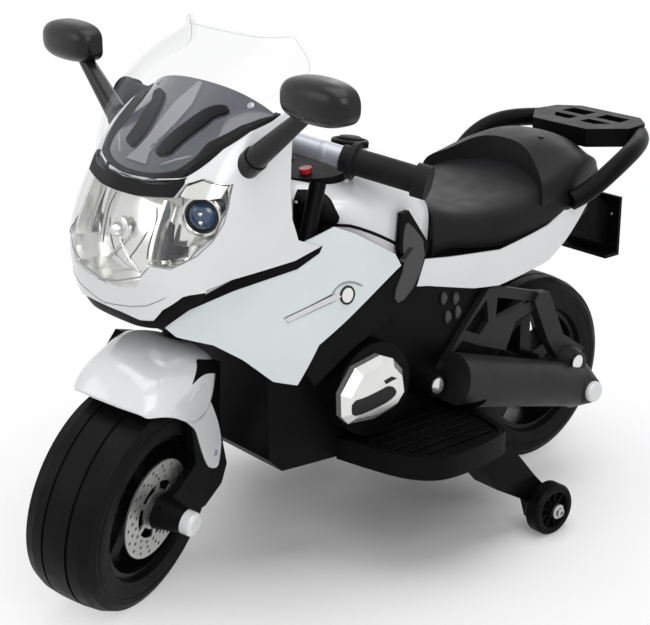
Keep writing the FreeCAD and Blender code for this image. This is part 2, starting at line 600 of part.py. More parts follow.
def axle(hub, reach, cap_start):
    shaft = rod(AXLE_RADIUS, hub - V(cap_start, 0, 0), hub + V(cap_start, 0, 0))
    pieces = [shaft]
    for side in (-1, 1):
        near = hub + V(side * cap_start, 0, 0)
        far = hub + V(side * reach, 0, 0)
        cap = rod(AXLE_CAP_RADIUS, near, far)
        rim_edges = [edge for edge in cap.Edges if abs(edge.CenterOfMass.x - far.x) < SEAM]
        pieces.append(cap.makeFillet(AXLE_CAP_RADIUS / 3, rim_edges))
    return joined(pieces)


# Nose


def nose_level(level, inset):
    height, tip_share, half_share, bluntness = level
    rear = along(NOSE_REAR_SHARE)
    tip = along(tip_share) + inset
    half = out(half_share) - inset
    left = []
    for x_share, blunt_share, sharp_share in NOSE_PLAN_SHARES:
        back_share = bluntness * blunt_share + (1 - bluntness) * sharp_share
        left.append(V(x_share * half, tip + back_share * (rear - tip), up(height)))
    right = [V(-point.x, point.y, point.z) for point in left]
    return list(reversed(left)) + right[1:]


def nose_block(inset_outer, inset_inner):
    wires = []
    for level in NOSE_LEVELS:
        wires.append(strip_wire(nose_level(level, inset_outer), nose_level(level, inset_inner)))
    return loft(wires)


def headlight_prism(scale):
    points = []
    for x_share, z_share in HEADLIGHT_SHARES:
        rise = HEADLIGHT_MIDDLE_SHARE + scale * (z_share - HEADLIGHT_MIDDLE_SHARE)
        points.append(V(scale * out(x_share), along(NOSE_FRONT_SHARE), up(rise)))
    points += [V(-point.x, point.y, point.z) for point in reversed(points[1:-1])]
    return closed_face(points).extrude(V(0, HEADLIGHT_REACH_SHARE * BODY_LENGTH, 0))


def front_fairing(screen):
    wide = 2 * BODY_HALF_WIDTH
    shell = nose_block(0, PANEL_WALL).common(side_prism(FAIRING_SHARES, -wide, wide))
    for side_base in (mirror_base_blank(), mirrored(mirror_base_blank())):
        shell = shell.cut(side_base)
    return largest(shell.cut(headlight_prism(1.0)).cut(brow_prism()).cut(screen))


def headlight_lens(fairing):
    return largest(nose_block(0, LENS_WALL).common(headlight_prism(LENS_SCALE)).cut(fairing))


def lamp_axis(side):
    turn = math.radians(LAMP_TURN)
    return V(side * math.sin(turn), -math.cos(turn), 0)


def lamp_place(side):
    x_share, y_share, z_share = LAMP_PLACE_SHARES
    return V(side * out(x_share), along(y_share), up(z_share)) - lamp_axis(side) * (3 * PANEL_WALL)


def lamp(side):
    front = lamp_place(side)
    back = front - lamp_axis(side) * LAMP_LENGTH
    floor = front - lamp_axis(side) * (LAMP_LENGTH / 3)
    ring = rod(LAMP_RADIUS, back, front).cut(taper(0.55 * LAMP_RADIUS, 0.8 * LAMP_RADIUS, floor, front))
    bulb = Part.makeSphere(0.5 * LAMP_RADIUS, floor)
    return joined([ring, bulb])


def chin_liner():
    wide = 2 * BODY_HALF_WIDTH
    band = nose_block(PANEL_WALL + RUNNING_CLEARANCE, 3 * PANEL_WALL)
    return band.common(side_prism(CHIN_SHARES, -wide, wide))


def headlight_tray(frame):
    inside = nose_block(PANEL_WALL - SEAM, TRAY_DEPTH - PANEL_WALL).common(headlight_prism(0.97))
    tray = nose_block(PANEL_WALL + RUNNING_CLEARANCE, TRAY_DEPTH).common(headlight_prism(1.03)).cut(inside)
    tray = joined([tray, chin_liner()]).cut(frame)
    for side in (-1, 1):
        front = lamp_place(side)
        reach = lamp_axis(side) * LAMP_LENGTH
        tray = tray.cut(rod(LAMP_RADIUS, front - reach, front + reach))
    return largest(tray)


# Cowl and screen


def screen_curve(section, arch, inset):
    middle_y, middle_z, edge_x, edge_y, edge_z = section
    half = out(edge_x) - inset
    middle = V(0, along(middle_y), up(middle_z))
    edge = V(0, along(edge_y), up(edge_z))
    slide = (edge - middle).normalize() * (1.4 * inset)
    left = []
    for x_share, drop_share in arch:
        left.append(V(x_share * half, 0, 0) + middle + (edge - middle) * drop_share + slide)
    right = [V(-point.x, point.y, point.z) for point in left]
    return list(reversed(left)) + right[1:]


def curved_screen(sections, arch, wall):
    wires = []
    for section in sections:
        wires.append(strip_wire(screen_curve(section, arch, 0), screen_curve(section, arch, wall)))
    return loft(wires)


def cowl_panel():
    return curved_screen(COWL_SECTIONS, COWL_ARCH_SHARES, PANEL_WALL)


def windscreen():
    return curved_screen(SCREEN_SECTIONS, SCREEN_ARCH_SHARES, SCREEN_WALL)


# Side panels and other curved panels with a plan line and a side outline


def plan_line(plan, level, inset):
    height, scale = level
    return [V(scale * out(x) - inset, along(y), up(height)) for y, x in plan]


def curved_panel(plan, levels, outline, wall):
    wires = [strip_wire(plan_line(plan, level, 0), plan_line(plan, level, wall)) for level in levels]
    return loft(wires).common(side_prism(outline, 0, 2 * BODY_HALF_WIDTH))


def panel_peg(place, plan, levels):
    peg = rod(2 * PANEL_WALL, side_point(place, SHOULDER_HALF_WIDTH), side_point(place, 2 * BODY_HALF_WIDTH))
    wires = []
    for level in levels:
        wires.append(strip_wire(plan_line(plan, level, 0), plan_line(plan, level, BODY_HALF_WIDTH)))
    return peg.common(loft(wires))


def side_panel():
    panel = curved_panel(SIDE_PLAN_SHARES, SIDE_LEVELS, SIDE_SHARES, PANEL_WALL)
    pegs = [panel_peg(place, SIDE_PLAN_SHARES, SIDE_LEVELS) for place in SIDE_PEG_SHARES]
    return joined([panel] + pegs)


def tail_panel():
    return curved_panel(TAIL_PLAN_SHARES, TAIL_LEVELS, TAIL_SHARES, PANEL_WALL)


# Saddle and tank


def arch_points(section, inset):
    y_share, half_share, top_share, shoulder_share, bottom_share = section
    half = out(half_share) - inset
    bottom = up(bottom_share)
    shoulder = up(shoulder_share) - inset
    top = up(top_share) - inset
    left = [V(x * half, along(y_share), bottom + rise * (shoulder - bottom)) for x, rise in ARCH_SHARES]
    left.append(V(0.45 * half, along(y_share), top - 0.25 * (top - shoulder)))
    left.append(V(0, along(y_share), top))
    right = [V(-point.x, point.y, point.z) for point in left]
    return left + list(reversed(right))[1:]


def arch_shell(sections, wall):
    return loft([strip_wire(arch_points(section, 0), arch_points(section, wall)) for section in sections])


def end_wall(section, wall):
    points = arch_points(section, wall / 2)
    wire = Part.Wire([curve(points), Part.makeLine(points[-1], points[0])])
    return Part.Face(wire).extrude(V(0, wall, 0))


def tank_cover():
    return joined([arch_shell(TANK_SECTIONS, PANEL_WALL), end_wall(TANK_SECTIONS[0], PANEL_WALL)])


def filled_arch(section, inset, drop_share):
    points = arch_points(section[:-1] + (section[-1] - drop_share,), inset)
    return Part.Wire([curve(points), Part.makeLine(points[-1], points[0])])


def pad_block(inset, drop_share):
    block = loft([filled_arch(section, inset, drop_share) for section in PAD_SECTIONS])
    centre = V(0, along(PAD_STEP_SHARE) - PAD_STEP_RADIUS, 0)
    return block.cut(rod(PAD_STEP_RADIUS + inset, centre, centre + V(0, 0, 2 * SADDLE_HEIGHT)))


def seat():
    back = end_wall(SEAT_SECTIONS[-1], SEAT_WALL)
    back.translate(V(0, -SEAT_WALL, 0))
    front = end_wall(SEAT_SECTIONS[0], SEAT_WALL)
    rear = along(PAD_SECTIONS[-1][0]) - PAD_WALL
    wide = 2 * BODY_HALF_WIDTH
    room = box(-wide, wide, FRONT_AXLE_Y, rear, 0, 2 * SADDLE_HEIGHT)
    hollow = pad_block(PAD_WALL, PAD_OPEN_SHARE).common(room)
    return joined([arch_shell(SEAT_SECTIONS, SEAT_WALL), front, back, pad_block(0, 0)]).cut(hollow)


# Chassis


def chassis_half(side):
    low, high = sorted([0, side * CHASSIS_HALF_WIDTH])
    body = side_prism(CHASSIS_SHARES, low, high)
    wire = Part.makePolygon([side_point(place, 0) for place in CHASSIS_SHARES + [CHASSIS_SHARES[0]]])
    inner = Part.Face(wire.makeOffset2D(-CHASSIS_WALL))
    body = body.cut(inner.extrude(V(side * (CHASSIS_HALF_WIDTH - CHASSIS_WALL), 0, 0)))
    taper_points = [V(side * out(x), along(y), 0) for y, x in CHASSIS_TAPER_SHARES]
    body = body.cut(closed_face(taper_points).extrude(V(0, 0, 2 * SADDLE_HEIGHT)))
    low, high = sorted([side * CHASSIS_HALF_WIDTH, side * SHOULDER_HALF_WIDTH])
    return joined([body, side_prism(SHOULDER_SHARES, low, high)])


def steering_head():
    low = on_stem(up(HEAD_LOW_SHARE))
    high = on_stem(up(HEAD_HIGH_SHARE))
    radius = STEM_RADIUS + HEAD_WALL
    web = box(-radius, radius, low.y, along(CHASSIS_FRONT_SHARE), low.z + radius, high.z - radius)
    head = joined([rod(radius, low, high), web])
    return head.cut(rod(STEM_RADIUS + RUNNING_CLEARANCE, low, high))


# Head frame and brackets between the chassis and the fairing


def largest(shape):
    return max(shape.Solids, key=lambda solid: solid.Volume)


def brow_prism():
    points = [V(out(x), along(NOSE_FRONT_SHARE), up(z)) for x, z in BROW_SHARES]
    points += [V(-point.x, point.y, point.z) for point in reversed(points[1:-1])]
    return closed_face(points).extrude(V(0, BROW_REACH_SHARE * BODY_LENGTH, 0))


def cowl_frame(cowl, screen):
    wide = 2 * BODY_HALF_WIDTH
    band = nose_block(PANEL_WALL + SEAM, 4 * PANEL_WALL)
    band = band.common(side_prism(EDGE_STRIP_SHARES, -wide, wide))
    brow = nose_block(-BROW_PROUD, 2 * PANEL_WALL).common(brow_prism())
    frame = joined([band, brow])
    for neighbour in (cowl, screen, mirror_base_blank(), mirrored(mirror_base_blank())):
        frame = frame.cut(neighbour)
    return largest(frame)


def fairing_bracket(fairing):
    low, step, high = [up(share) for share in BRACKET_HEIGHT_SHARES]
    front = along(CHASSIS_FRONT_SHARE)
    back = front + BRACKET_THICKNESS
    foot = box(CHASSIS_HALF_WIDTH, SHOULDER_HALF_WIDTH, front, back, low, step)
    arm = box(BRACKET_X, out(BRACKET_REACH_SHARE), front, back, step, high)
    link = box(BRACKET_X, SHOULDER_HALF_WIDTH, front, back, low, high)
    return largest(joined([foot, link, arm]).cut(fairing))


def dash_post():
    foot = V(out(POST_FOOT_SHARES[0]), along(POST_FOOT_SHARES[1]), up(POST_FOOT_SHARES[2]))
    top = V(out(POST_TOP_SHARES[0]), along(POST_TOP_SHARES[1]), up(POST_TOP_SHARES[2]))
    return rod(POST_RADIUS, foot, top)


# Mirrors: a fixed base on the fairing and a stalk with the head that turns in it


def mirror_foot():
    return V(out(MIRROR_FOOT_SHARES[0]), along(MIRROR_FOOT_SHARES[1]), up(MIRROR_FOOT_SHARES[2]))


def mirror_head():
    return V(out(MIRROR_HEAD_SHARES[0]), along(MIRROR_HEAD_SHARES[1]), up(MIRROR_HEAD_SHARES[2]))


def stalk_direction():
    return (mirror_head() - mirror_foot()).normalize()


def mirror_base_blank():
    return rod(MIRROR_BASE_RADIUS, mirror_foot() - stalk_direction() * MIRROR_BASE_LENGTH,
               mirror_foot() + stalk_direction() * MIRROR_BASE_LENGTH)


def mirror_base():
    start = mirror_foot() - stalk_direction() * MIRROR_BASE_LENGTH
    end = mirror_foot() + stalk_direction() * MIRROR_BASE_LENGTH
    return mirror_base_blank().cut(rod(MIRROR_PEG_RADIUS + RUNNING_CLEARANCE, start, end))


def squared(value):
    return math.copysign(abs(value) ** MIRROR_SQUARE_SHARE, value)


def mirror_ring(section):
    along_share, size_share = section
    middle = mirror_head() + V(along_share * MIRROR_HALF_SIZES[0], 0, 0)
    points = []
    for number in range(MIRROR_RING_POINTS):
        turn = 2 * math.pi * number / MIRROR_RING_POINTS
        deep = size_share * MIRROR_HALF_SIZES[1] * squared(math.cos(turn))
        high = size_share * MIRROR_HALF_SIZES[2] * squared(math.sin(turn))
        points.append(middle + V(0, deep, high))
    ring = Part.BSplineCurve()
    ring.interpolate(Points=points, PeriodicFlag=True)
    return Part.Wire([ring.toShape()])


def mirror_back():
    return mirror_head().y + MIRROR_BACK_SHARE * MIRROR_HALF_SIZES[1]


def mirror():
    middle = mirror_head()
    reach = 2 * MIRROR_HALF_SIZES[0]
    front_part = box(middle.x - reach, middle.x + reach, middle.y - reach, mirror_back(),
                     middle.z - reach, middle.z + reach)
    head = loft([mirror_ring(section) for section in MIRROR_RING_SHARES]).common(front_part)
    start = mirror_foot() + stalk_direction() * MIRROR_BASE_LENGTH
    stalk = taper(0.9 * MIRROR_BASE_RADIUS, 0.5 * MIRROR_BASE_RADIUS, start, middle)
    peg = rod(MIRROR_PEG_RADIUS, mirror_foot() - stalk_direction() * (MIRROR_BASE_LENGTH / 2), start)
    return joined([head, stalk.common(front_part), peg])


# Dash panel with its buttons, let into the tank cover


def on_dash(shape):
    placed = shape.copy()
    placed.rotate(V(0, 0, 0), V(1, 0, 0), DASH_TILT)
    placed.translate(V(0, along(DASH_PLACE_SHARES[0]), up(DASH_PLACE_SHARES[1])))
    return placed


def dash_blank(rise):
    oval = Part.Ellipse(V(0, 0, -DASH_THICKNESS / 2), DASH_HALF_SIZES[0], DASH_HALF_SIZES[1])
    return Part.Face(Part.Wire([oval.toShape()])).extrude(V(0, 0, DASH_THICKNESS + rise))


def button_well(radius):
    top = DASH_THICKNESS / 2
    x, y = BUTTON_PLACE
    return rod(radius, V(x, y, top - WELL_DEPTH), V(x, y, top))


def rocker_well():
    half_x, half_y = ROCKER_HALF_SIZES
    x, y = ROCKER_PLACE
    top = DASH_THICKNESS / 2
    well_x = half_x + ROCKER_GAP
    well_y = half_y + ROCKER_END_GAP
    return box(x - well_x, x + well_x, y - well_y, y + well_y, top - WELL_DEPTH, top)


def rocker_rod(radius, reach):
    x, y = ROCKER_PLACE
    height = DASH_THICKNESS / 2 - ROCKER_DEPTH
    return rod(radius, V(x - reach, y, height), V(x + reach, y, height))


def dash_panel():
    blank = dash_blank(0).cut(button_well(BUTTON_RADIUS + RUNNING_CLEARANCE)).cut(rocker_well())
    pin = rocker_rod(ROCKER_PIN_RADIUS, ROCKER_HALF_SIZES[0] + ROCKER_END_GAP)
    return on_dash(joined([blank, pin]))


def power_button():
    top = DASH_THICKNESS / 2
    x, y = BUTTON_PLACE
    low = V(x, y, top - WELL_DEPTH + BUTTON_TRAVEL + ROCKER_GAP)
    return on_dash(rod(BUTTON_RADIUS, low, V(x, y, top + BUTTON_HEIGHT)))


def direction_rocker():
    half_x, half_y = ROCKER_HALF_SIZES
    x, y = ROCKER_PLACE
    top = DASH_THICKNESS / 2
    left = x - half_x
    high = top + ROCKER_RISE
    front_end = [V(left, y - half_y, top), V(left, y - half_y, high), V(left, y, top - ROCKER_RISE)]
    back_end = [V(left, y + half_y, high), V(left, y + half_y, top), V(left, y, top - ROCKER_DEPTH)]
    plate = closed_face(front_end + back_end).extrude(V(2 * half_x, 0, 0))
    rocker = joined([plate, rocker_rod(ROCKER_BARREL_RADIUS, half_x)])
    return on_dash(rocker.cut(rocker_rod(ROCKER_PIN_RADIUS + RUNNING_CLEARANCE, half_x)))


# Knee trims, engine covers and the small parts on the flanks


def knee_trim():
    return side_prism(KNEE_SHARES, SHOULDER_HALF_WIDTH, SHOULDER_HALF_WIDTH + KNEE_THICKNESS)


def engine_housing():
    start = side_point(ENGINE_PLACE_SHARES, CHASSIS_HALF_WIDTH)
    return rod(ENGINE_RADIUS, start, start + V(ENGINE_DEPTH, 0, 0))


def engine_cover():
    near = CHASSIS_HALF_WIDTH + ENGINE_DEPTH
    cover = side_prism(COVER_SHARES, near, near + COVER_DEPTH)
    face_edges = [edge for edge in cover.Edges if edge.BoundBox.XMin > near + COVER_DEPTH - SEAM]
    return cover.makeChamfer(COVER_BEVEL_SHARE * COVER_DEPTH, face_edges)


def flank_boss():
    start = side_point(HUB_BADGE_SHARES, CHASSIS_HALF_WIDTH)
    return taper(1.6 * HUB_BADGE_RADIUS, 1.1 * HUB_BADGE_RADIUS, start, start + V(HUB_BADGE_DEPTH, 0, 0))


# Footboards, pedal and stabilisers


def softened(points):
    soft = [points[0]]
    for start, end in zip(points, points[1:]):
        soft.append(start + (end - start) * FOOTBOARD_CORNER_SHARE)
        soft.append(end - (end - start) * FOOTBOARD_CORNER_SHARE)
    return soft + [points[-1]]


def footboard_points(height):
    points = [V(out(x), along(y), up(height)) for x, y in FOOTBOARD_SHARES]
    points[0].x = CHASSIS_HALF_WIDTH
    points[-1].x = CHASSIS_HALF_WIDTH
    return softened(softened(points))


def footboard():
    board = closed_face(footboard_points(FOOTBOARD_LOW_SHARE))
    board = board.extrude(V(0, 0, up(FOOTBOARD_HIGH_SHARE - FOOTBOARD_LOW_SHARE)))
    points = footboard_points(FOOTBOARD_HIGH_SHARE)
    top = Part.makePolygon(points + [points[0]])
    recess = Part.Face(top.makeOffset2D(-RECESS_RIM)).extrude(V(0, 0, -RECESS_DEPTH))
    return board.cut(recess)


def pedal_pin_place():
    floor = up(FOOTBOARD_HIGH_SHARE) - RECESS_DEPTH
    return V(-out(PEDAL_X_SHARE), along(PEDAL_ALONG_SHARE), floor + PIN_RISE)


def footboard_with_lugs():
    board = mirrored(footboard())
    pin = pedal_pin_place()
    floor = up(FOOTBOARD_HIGH_SHARE) - RECESS_DEPTH
    for side in (-1, 1):
        near = pin.x + side * (PEDAL_HALF_WIDTH + SEAM)
        far = near + side * LUG_THICKNESS
        low, high = sorted([near, far])
        half = 2 * PEDAL_PIN_RADIUS
        board = board.fuse(box(low, high, pin.y - half, pin.y + half, floor, pin.z + half))
    reach = V(PEDAL_HALF_WIDTH + SEAM + LUG_THICKNESS, 0, 0)
    return joined([board, rod(PEDAL_PIN_RADIUS, pin - reach, pin + reach)])


def accelerator_pedal():
    pin = pedal_pin_place()
    half = V(PEDAL_HALF_WIDTH, 0, 0)
    plate = box(pin.x - PEDAL_HALF_WIDTH, pin.x + PEDAL_HALF_WIDTH, pin.y - PEDAL_LENGTH, pin.y,
                pin.z - PEDAL_THICKNESS / 2, pin.z + PEDAL_THICKNESS / 2)
    barrel = rod(1.8 * PEDAL_PIN_RADIUS, pin - half, pin + half)
    pedal = joined([plate, barrel]).cut(rod(PEDAL_PIN_RADIUS + RUNNING_CLEARANCE, pin - half, pin + half))
    pedal.rotate(pin, V(1, 0, 0), -PEDAL_TILT)
    return pedal


def stabiliser_hub():
    return V(STABILISER_X, along(STABILISER_ALONG_SHARE), STABILISER_RADIUS)


def level_rectangle(x_low, x_high, y_low, y_high, z):
    near = [V(x_low, y_low, z), V(x_high, y_low, z)]
    far = [V(x_high, y_high, z), V(x_low, y_high, z)]
    return Part.makePolygon(near + far + near[:1])


def stabiliser_arm():
    hub = stabiliser_hub()
    outer = hub.x - STABILISER_HALF_WIDTH - STABILISER_GAP
    inner = outer - ARM_THICKNESS
    x_low, x_high, y_low, y_high = ARM_TOP_SHARES
    middle_front, middle_back, middle_height = ARM_MIDDLE_SHARES
    top = level_rectangle(out(x_low), out(x_high), along(y_low), along(y_high), up(FOOTBOARD_LOW_SHARE))
    middle = level_rectangle((out(x_low) + inner) / 2, (out(x_high) + outer) / 2 + ARM_THICKNESS / 2,
                             along(middle_front), along(middle_back), up(middle_height))
    low = level_rectangle(inner, outer, hub.y - 2.2 * ARM_THICKNESS, hub.y + 1.6 * ARM_THICKNESS,
                          hub.z + ARM_THICKNESS)
    foot = level_rectangle(inner, outer, hub.y - 1.4 * ARM_THICKNESS, hub.y + 1.6 * ARM_THICKNESS,
                           hub.z - 1.4 * ARM_THICKNESS)
    arm = joined([Part.makeLoft([top, middle, low], True, True), Part.makeLoft([low, foot], True, True)])
    stub_end = V(hub.x + STABILISER_HALF_WIDTH + STABILISER_GAP / 2, hub.y, hub.z)
    stub = rod(STABILISER_BOLT_RADIUS, V(inner, hub.y, hub.z), stub_end)
    head = rod(1.7 * STABILISER_BOLT_RADIUS, stub_end, stub_end + V(STABILISER_GAP, 0, 0))
    return joined([arm, stub, head])


def stabiliser_wheel():
    hub = stabiliser_hub()
    profile = [(hub.x + x * STABILISER_HALF_WIDTH, r * STABILISER_RADIUS) for x, r in STABILISER_TYRE_SHARES]
    reach = V(STABILISER_HALF_WIDTH, 0, 0)
    bore = rod(STABILISER_BOLT_RADIUS + RUNNING_CLEARANCE, hub - reach, hub + reach)
    filling = rod(0.25 * STABILISER_RADIUS, hub - 0.9 * reach, hub + 0.9 * reach)
    return joined([turned_x(profile, hub.y, hub.z), filling]).cut(bore)


# Rear suspension and drive


def truss_plate():
    plate = side_prism(TRUSS_SHARES, CHASSIS_HALF_WIDTH, CHASSIS_HALF_WIDTH + TRUSS_THICKNESS)
    for window in (TRUSS_WINDOW_SHARES, TRUSS_SLOT_SHARES):
        plate = plate.cut(side_prism(window, CHASSIS_HALF_WIDTH, CHASSIS_HALF_WIDTH + TRUSS_THICKNESS))
    return plate


def swingarm(boss):
    hub = REAR_HUB
    front = side_point(DRIVE_TUBE_FRONT_SHARES, DRIVE_TUBE_X)
    back = V(DRIVE_TUBE_X, hub.y, hub.z)
    drive_tube = taper(DRIVE_TUBE_RADIUS, 0.84 * DRIVE_TUBE_RADIUS, front, back)
    inner = hub + V(TYRE_HALF_WIDTH + 2 * STABILISER_GAP, 0, 0)
    waist = hub + V(DRIVE_TUBE_X, 0, 0)
    outer = hub + V(REAR_AXLE_REACH - AXLE_CAP_RADIUS / 2, 0, 0)
    hub_inner = taper(0.7 * HUB_CONE_RADIUS, HUB_CONE_RADIUS, inner, waist)
    hub_outer = taper(HUB_CONE_RADIUS, 1.15 * AXLE_CAP_RADIUS, waist, outer)
    strut = side_prism(STRUT_SHARES, ARM_PLATE_X, ARM_PLATE_X + ARM_PLATE_THICKNESS)
    badge_start = side_point(WHEEL_BADGE_SHARES, ARM_PLATE_X)
    badge_end = side_point(WHEEL_BADGE_SHARES, WHEEL_BADGE_REACH)
    badge = taper(1.7 * HUB_BADGE_RADIUS, 1.1 * HUB_BADGE_RADIUS, badge_start, badge_end)
    arm = joined([drive_tube, hub_inner, hub_outer, strut, badge, truss_plate()])
    wide = 2 * BODY_HALF_WIDTH
    front_end = along(ARM_FRONT_SHARE)
    split = along(ARM_SPLIT_SHARE)
    keep = box(CHASSIS_HALF_WIDTH, wide, front_end, split, 0, SADDLE_HEIGHT)
    rear = box(0, wide, split, along(ARM_END_SHARE), 0, SADDLE_HEIGHT)
    foot_room = box(0, wide, front_end, along(FOOT_ROOM_SHARE), 0, up(FOOTBOARD_HIGH_SHARE) + FOOT_ROOM)
    arm = arm.common(keep.fuse(rear)).cut(foot_room)
    arm = arm.cut(rod(AXLE_RADIUS, hub, hub + V(wide, 0, 0)))
    return largest(arm.cut(boss))


def gear_x():
    return -HUB_HALF_WIDTH


def pinion_hub():
    distance = TOOTH_MODULE * (DRIVE_TEETH + PINION_TEETH) / 2
    angle = math.radians(PINION_ANGLE)
    return REAR_HUB + V(0, -distance * math.cos(angle), distance * math.sin(angle))


def gear(teeth, middle, bore, first_angle):
    tip = TOOTH_MODULE * (teeth / 2 + 0.85)
    root = TOOTH_MODULE * (teeth / 2 - 1.15)
    pitch = 2 * math.pi / teeth
    points = []
    for number in range(teeth):
        centre = math.radians(first_angle) + number * pitch
        for radius, offset in ((root, -TOOTH_ROOT_SHARE), (tip, -TOOTH_TIP_SHARE), (tip, TOOTH_TIP_SHARE),
                               (root, TOOTH_ROOT_SHARE)):
            angle = centre + offset * pitch / 2 * (1.5 if radius == root else 1.2)
            behind = radius * math.cos(angle)
            above = radius * math.sin(angle)
            points.append(V(gear_x(), middle.y - behind, middle.z + above))
    wheel = closed_face(points).extrude(V(-GEAR_THICKNESS, 0, 0))
    axis = V(gear_x(), middle.y, middle.z)
    return wheel.cut(rod(bore, axis, axis - V(GEAR_THICKNESS, 0, 0)))


def drive_gear():
    return gear(DRIVE_TEETH, REAR_HUB, AXLE_RADIUS + RUNNING_CLEARANCE, PINION_ANGLE + 180 / DRIVE_TEETH)


def motor_pinion():
    return gear(PINION_TEETH, pinion_hub(), PEDAL_PIN_RADIUS + RUNNING_CLEARANCE, PINION_ANGLE + 180)


def motor():
    middle = pinion_hub()
    near = V(gear_x() - GEAR_THICKNESS - GEAR_GAP, middle.y, middle.z)
    can = rod(MOTOR_RADIUS, near, V(-CHASSIS_HALF_WIDTH, middle.y, middle.z))
    shaft = rod(PEDAL_PIN_RADIUS, V(gear_x(), middle.y, middle.z), near)
    return joined([can, shaft])


# Tail: rack, plate holder and lamp


def rack_plate():
    left = [V(out(x), along(y), up(RACK_LOW_SHARE)) for x, y in RACK_SHARES]
    right = [V(-point.x, point.y, point.z) for point in reversed(left)]
    thickness = up(RACK_HIGH_SHARE - RACK_LOW_SHARE)
    plate = closed_face(left + right).extrude(V(0, 0, thickness))
    for hole in RACK_HOLE_SHARES:
        corners = [V(out(x), along(y), up(RACK_LOW_SHARE)) for x, y in hole]
        window = closed_face(corners).extrude(V(0, 0, thickness))
        plate = plate.cut(window).cut(mirrored(window))
    return plate


def grab_rail(seat_shape, tail_left, tail_right):
    left = tube([V(out(x), along(y), up(z)) for x, y, z in RAIL_SHARES], RAIL_RADIUS)
    rack = joined([rack_plate(), left, mirrored(left)])
    return largest(rack.cut(seat_shape).cut(tail_left).cut(tail_right))


def plate_holder():
    y = along(PLATE_ALONG_SHARE)
    low = up(PLATE_LOW_SHARE)
    half = PLATE_HALF_WIDTH
    plate = box(-half, half, y, y + PLATE_THICKNESS, low, up(PLATE_HIGH_SHARE))
    lip = box(-half, half, y - 5 * PLATE_THICKNESS, y, low, low + PLATE_THICKNESS)
    arm = side_prism(HOLDER_ARM_SHARES, -HOLDER_ARM_HALF_WIDTH, HOLDER_ARM_HALF_WIDTH)
    holder = joined([plate, lip, arm])
    for side in (-1, 1):
        start = V(side * PLATE_HOLE_SPACING / 2, y, up(PLATE_HOLE_SHARE))
        holder = holder.cut(rod(PLATE_HOLE_RADIUS, start, start + V(0, PLATE_THICKNESS, 0)))
    return holder


def tail_light():
    lamp = side_prism(TAIL_LIGHT_SHARES, -out(TAIL_LIGHT_HALF_SHARE), out(TAIL_LIGHT_HALF_SHARE))
    edges = [edge for edge in lamp.Edges if edge.BoundBox.XMax - edge.BoundBox.XMin < SEAM]
    return lamp.makeFillet(2 * SEAM, edges)


# Pieces inside the body


def inner_floor():
    return up(CHASSIS_FLOOR_SHARE) + CHASSIS_WALL


def battery():
    half_x, half_y = BATTERY_SIZES[0] / 2, BATTERY_SIZES[1] / 2
    y = along(BATTERY_ALONG_SHARE)
    floor = inner_floor()
    return box(-half_x, half_x, y - half_y, y + half_y, floor, floor + BATTERY_SIZES[2])


def control_box():
    half_x, half_y = CONTROL_SIZES[0] / 2, CONTROL_SIZES[1] / 2
    y = along(BATTERY_ALONG_SHARE)
    floor = inner_floor() + BATTERY_SIZES[2]
    return box(-half_x, half_x, y - half_y, y + half_y, floor, floor + CONTROL_SIZES[2])


def charge_socket():
    start = side_point(SOCKET_PLACE_SHARES, -CHASSIS_HALF_WIDTH)
    return rod(SOCKET_RADIUS, start, start - V(SOCKET_RADIUS, 0, 0))


def socket_bore():
    start = side_point(SOCKET_PLACE_SHARES, -CHASSIS_HALF_WIDTH)
    return rod(SOCKET_BORE, start + V(SOCKET_RADIUS, 0, 0), start - V(SOCKET_RADIUS, 0, 0))


# Whole bike

def chassis_left(fairing):
    flank = [knee_trim(), engine_housing(), flank_boss()]
    return joined([chassis_half(1)] + flank + [fairing_bracket(fairing), dash_post()])


def chassis_right(left):
    return joined([mirrored(left), charge_socket()]).cut(socket_bore())


def seat_on(chassis_solid):
    return largest(seat().cut(chassis_solid))


def tank_on(chassis_solid):
    return largest(tank_cover().cut(chassis_solid).cut(on_dash(dash_blank(DASH_THICKNESS))))


def wheel_nodes():
    nodes = {"rear_tyre": tyre(REAR_HUB), "rear_rim": rim(REAR_HUB), "drive_gear": drive_gear()}
    nodes["front_tyre"] = steered(tyre(FRONT_HUB))
    nodes["front_rim"] = steered(rim(FRONT_HUB))
    nodes["brake_disc_left"] = steered(brake_disc(1))
    nodes["brake_disc_right"] = steered(brake_disc(-1))
    nodes["stabiliser_wheel_left"] = stabiliser_wheel()
    nodes["stabiliser_wheel_right"] = mirrored(stabiliser_wheel())
    nodes["motor_pinion"] = motor_pinion()
    return nodes


def steering_nodes():
    nodes = {}
    for word, side in (("left", 1), ("right", -1)):
        nodes["fork_" + word] = steered(fork_leg(side))
        nodes["grip_" + word] = steered(grip(side))
    nodes["fork_crown"] = steered(crown())
    nodes["steering_stem"] = steered(stem())
    nodes["top_yoke"] = steered(top_yoke())
    nodes["handlebar"] = steered(handlebar())
    nodes["front_fender"] = steered(front_fender())
    nodes["front_axle"] = steered(axle(FRONT_HUB, FRONT_AXLE_REACH, FORK_INNER_X + FORK_BOSS_LENGTH))
    return nodes


def nose_nodes():
    nodes = {"cowl_panel": cowl_panel(), "windscreen": windscreen()}
    nodes["front_fairing"] = front_fairing(nodes["windscreen"])
    nodes["cowl_frame"] = cowl_frame(nodes["cowl_panel"], nodes["windscreen"])
    nodes["headlight_lens"] = headlight_lens(nodes["front_fairing"])
    nodes["headlight_tray"] = headlight_tray(nodes["cowl_frame"])
    nodes["lamp_left"] = lamp(1)
    nodes["lamp_right"] = lamp(-1)
    nodes["mirror_base_left"] = mirror_base()
    nodes["mirror_base_right"] = mirrored(mirror_base())
    nodes["mirror_left"] = mirror()
    nodes["mirror_right"] = mirrored(mirror())
    return nodes


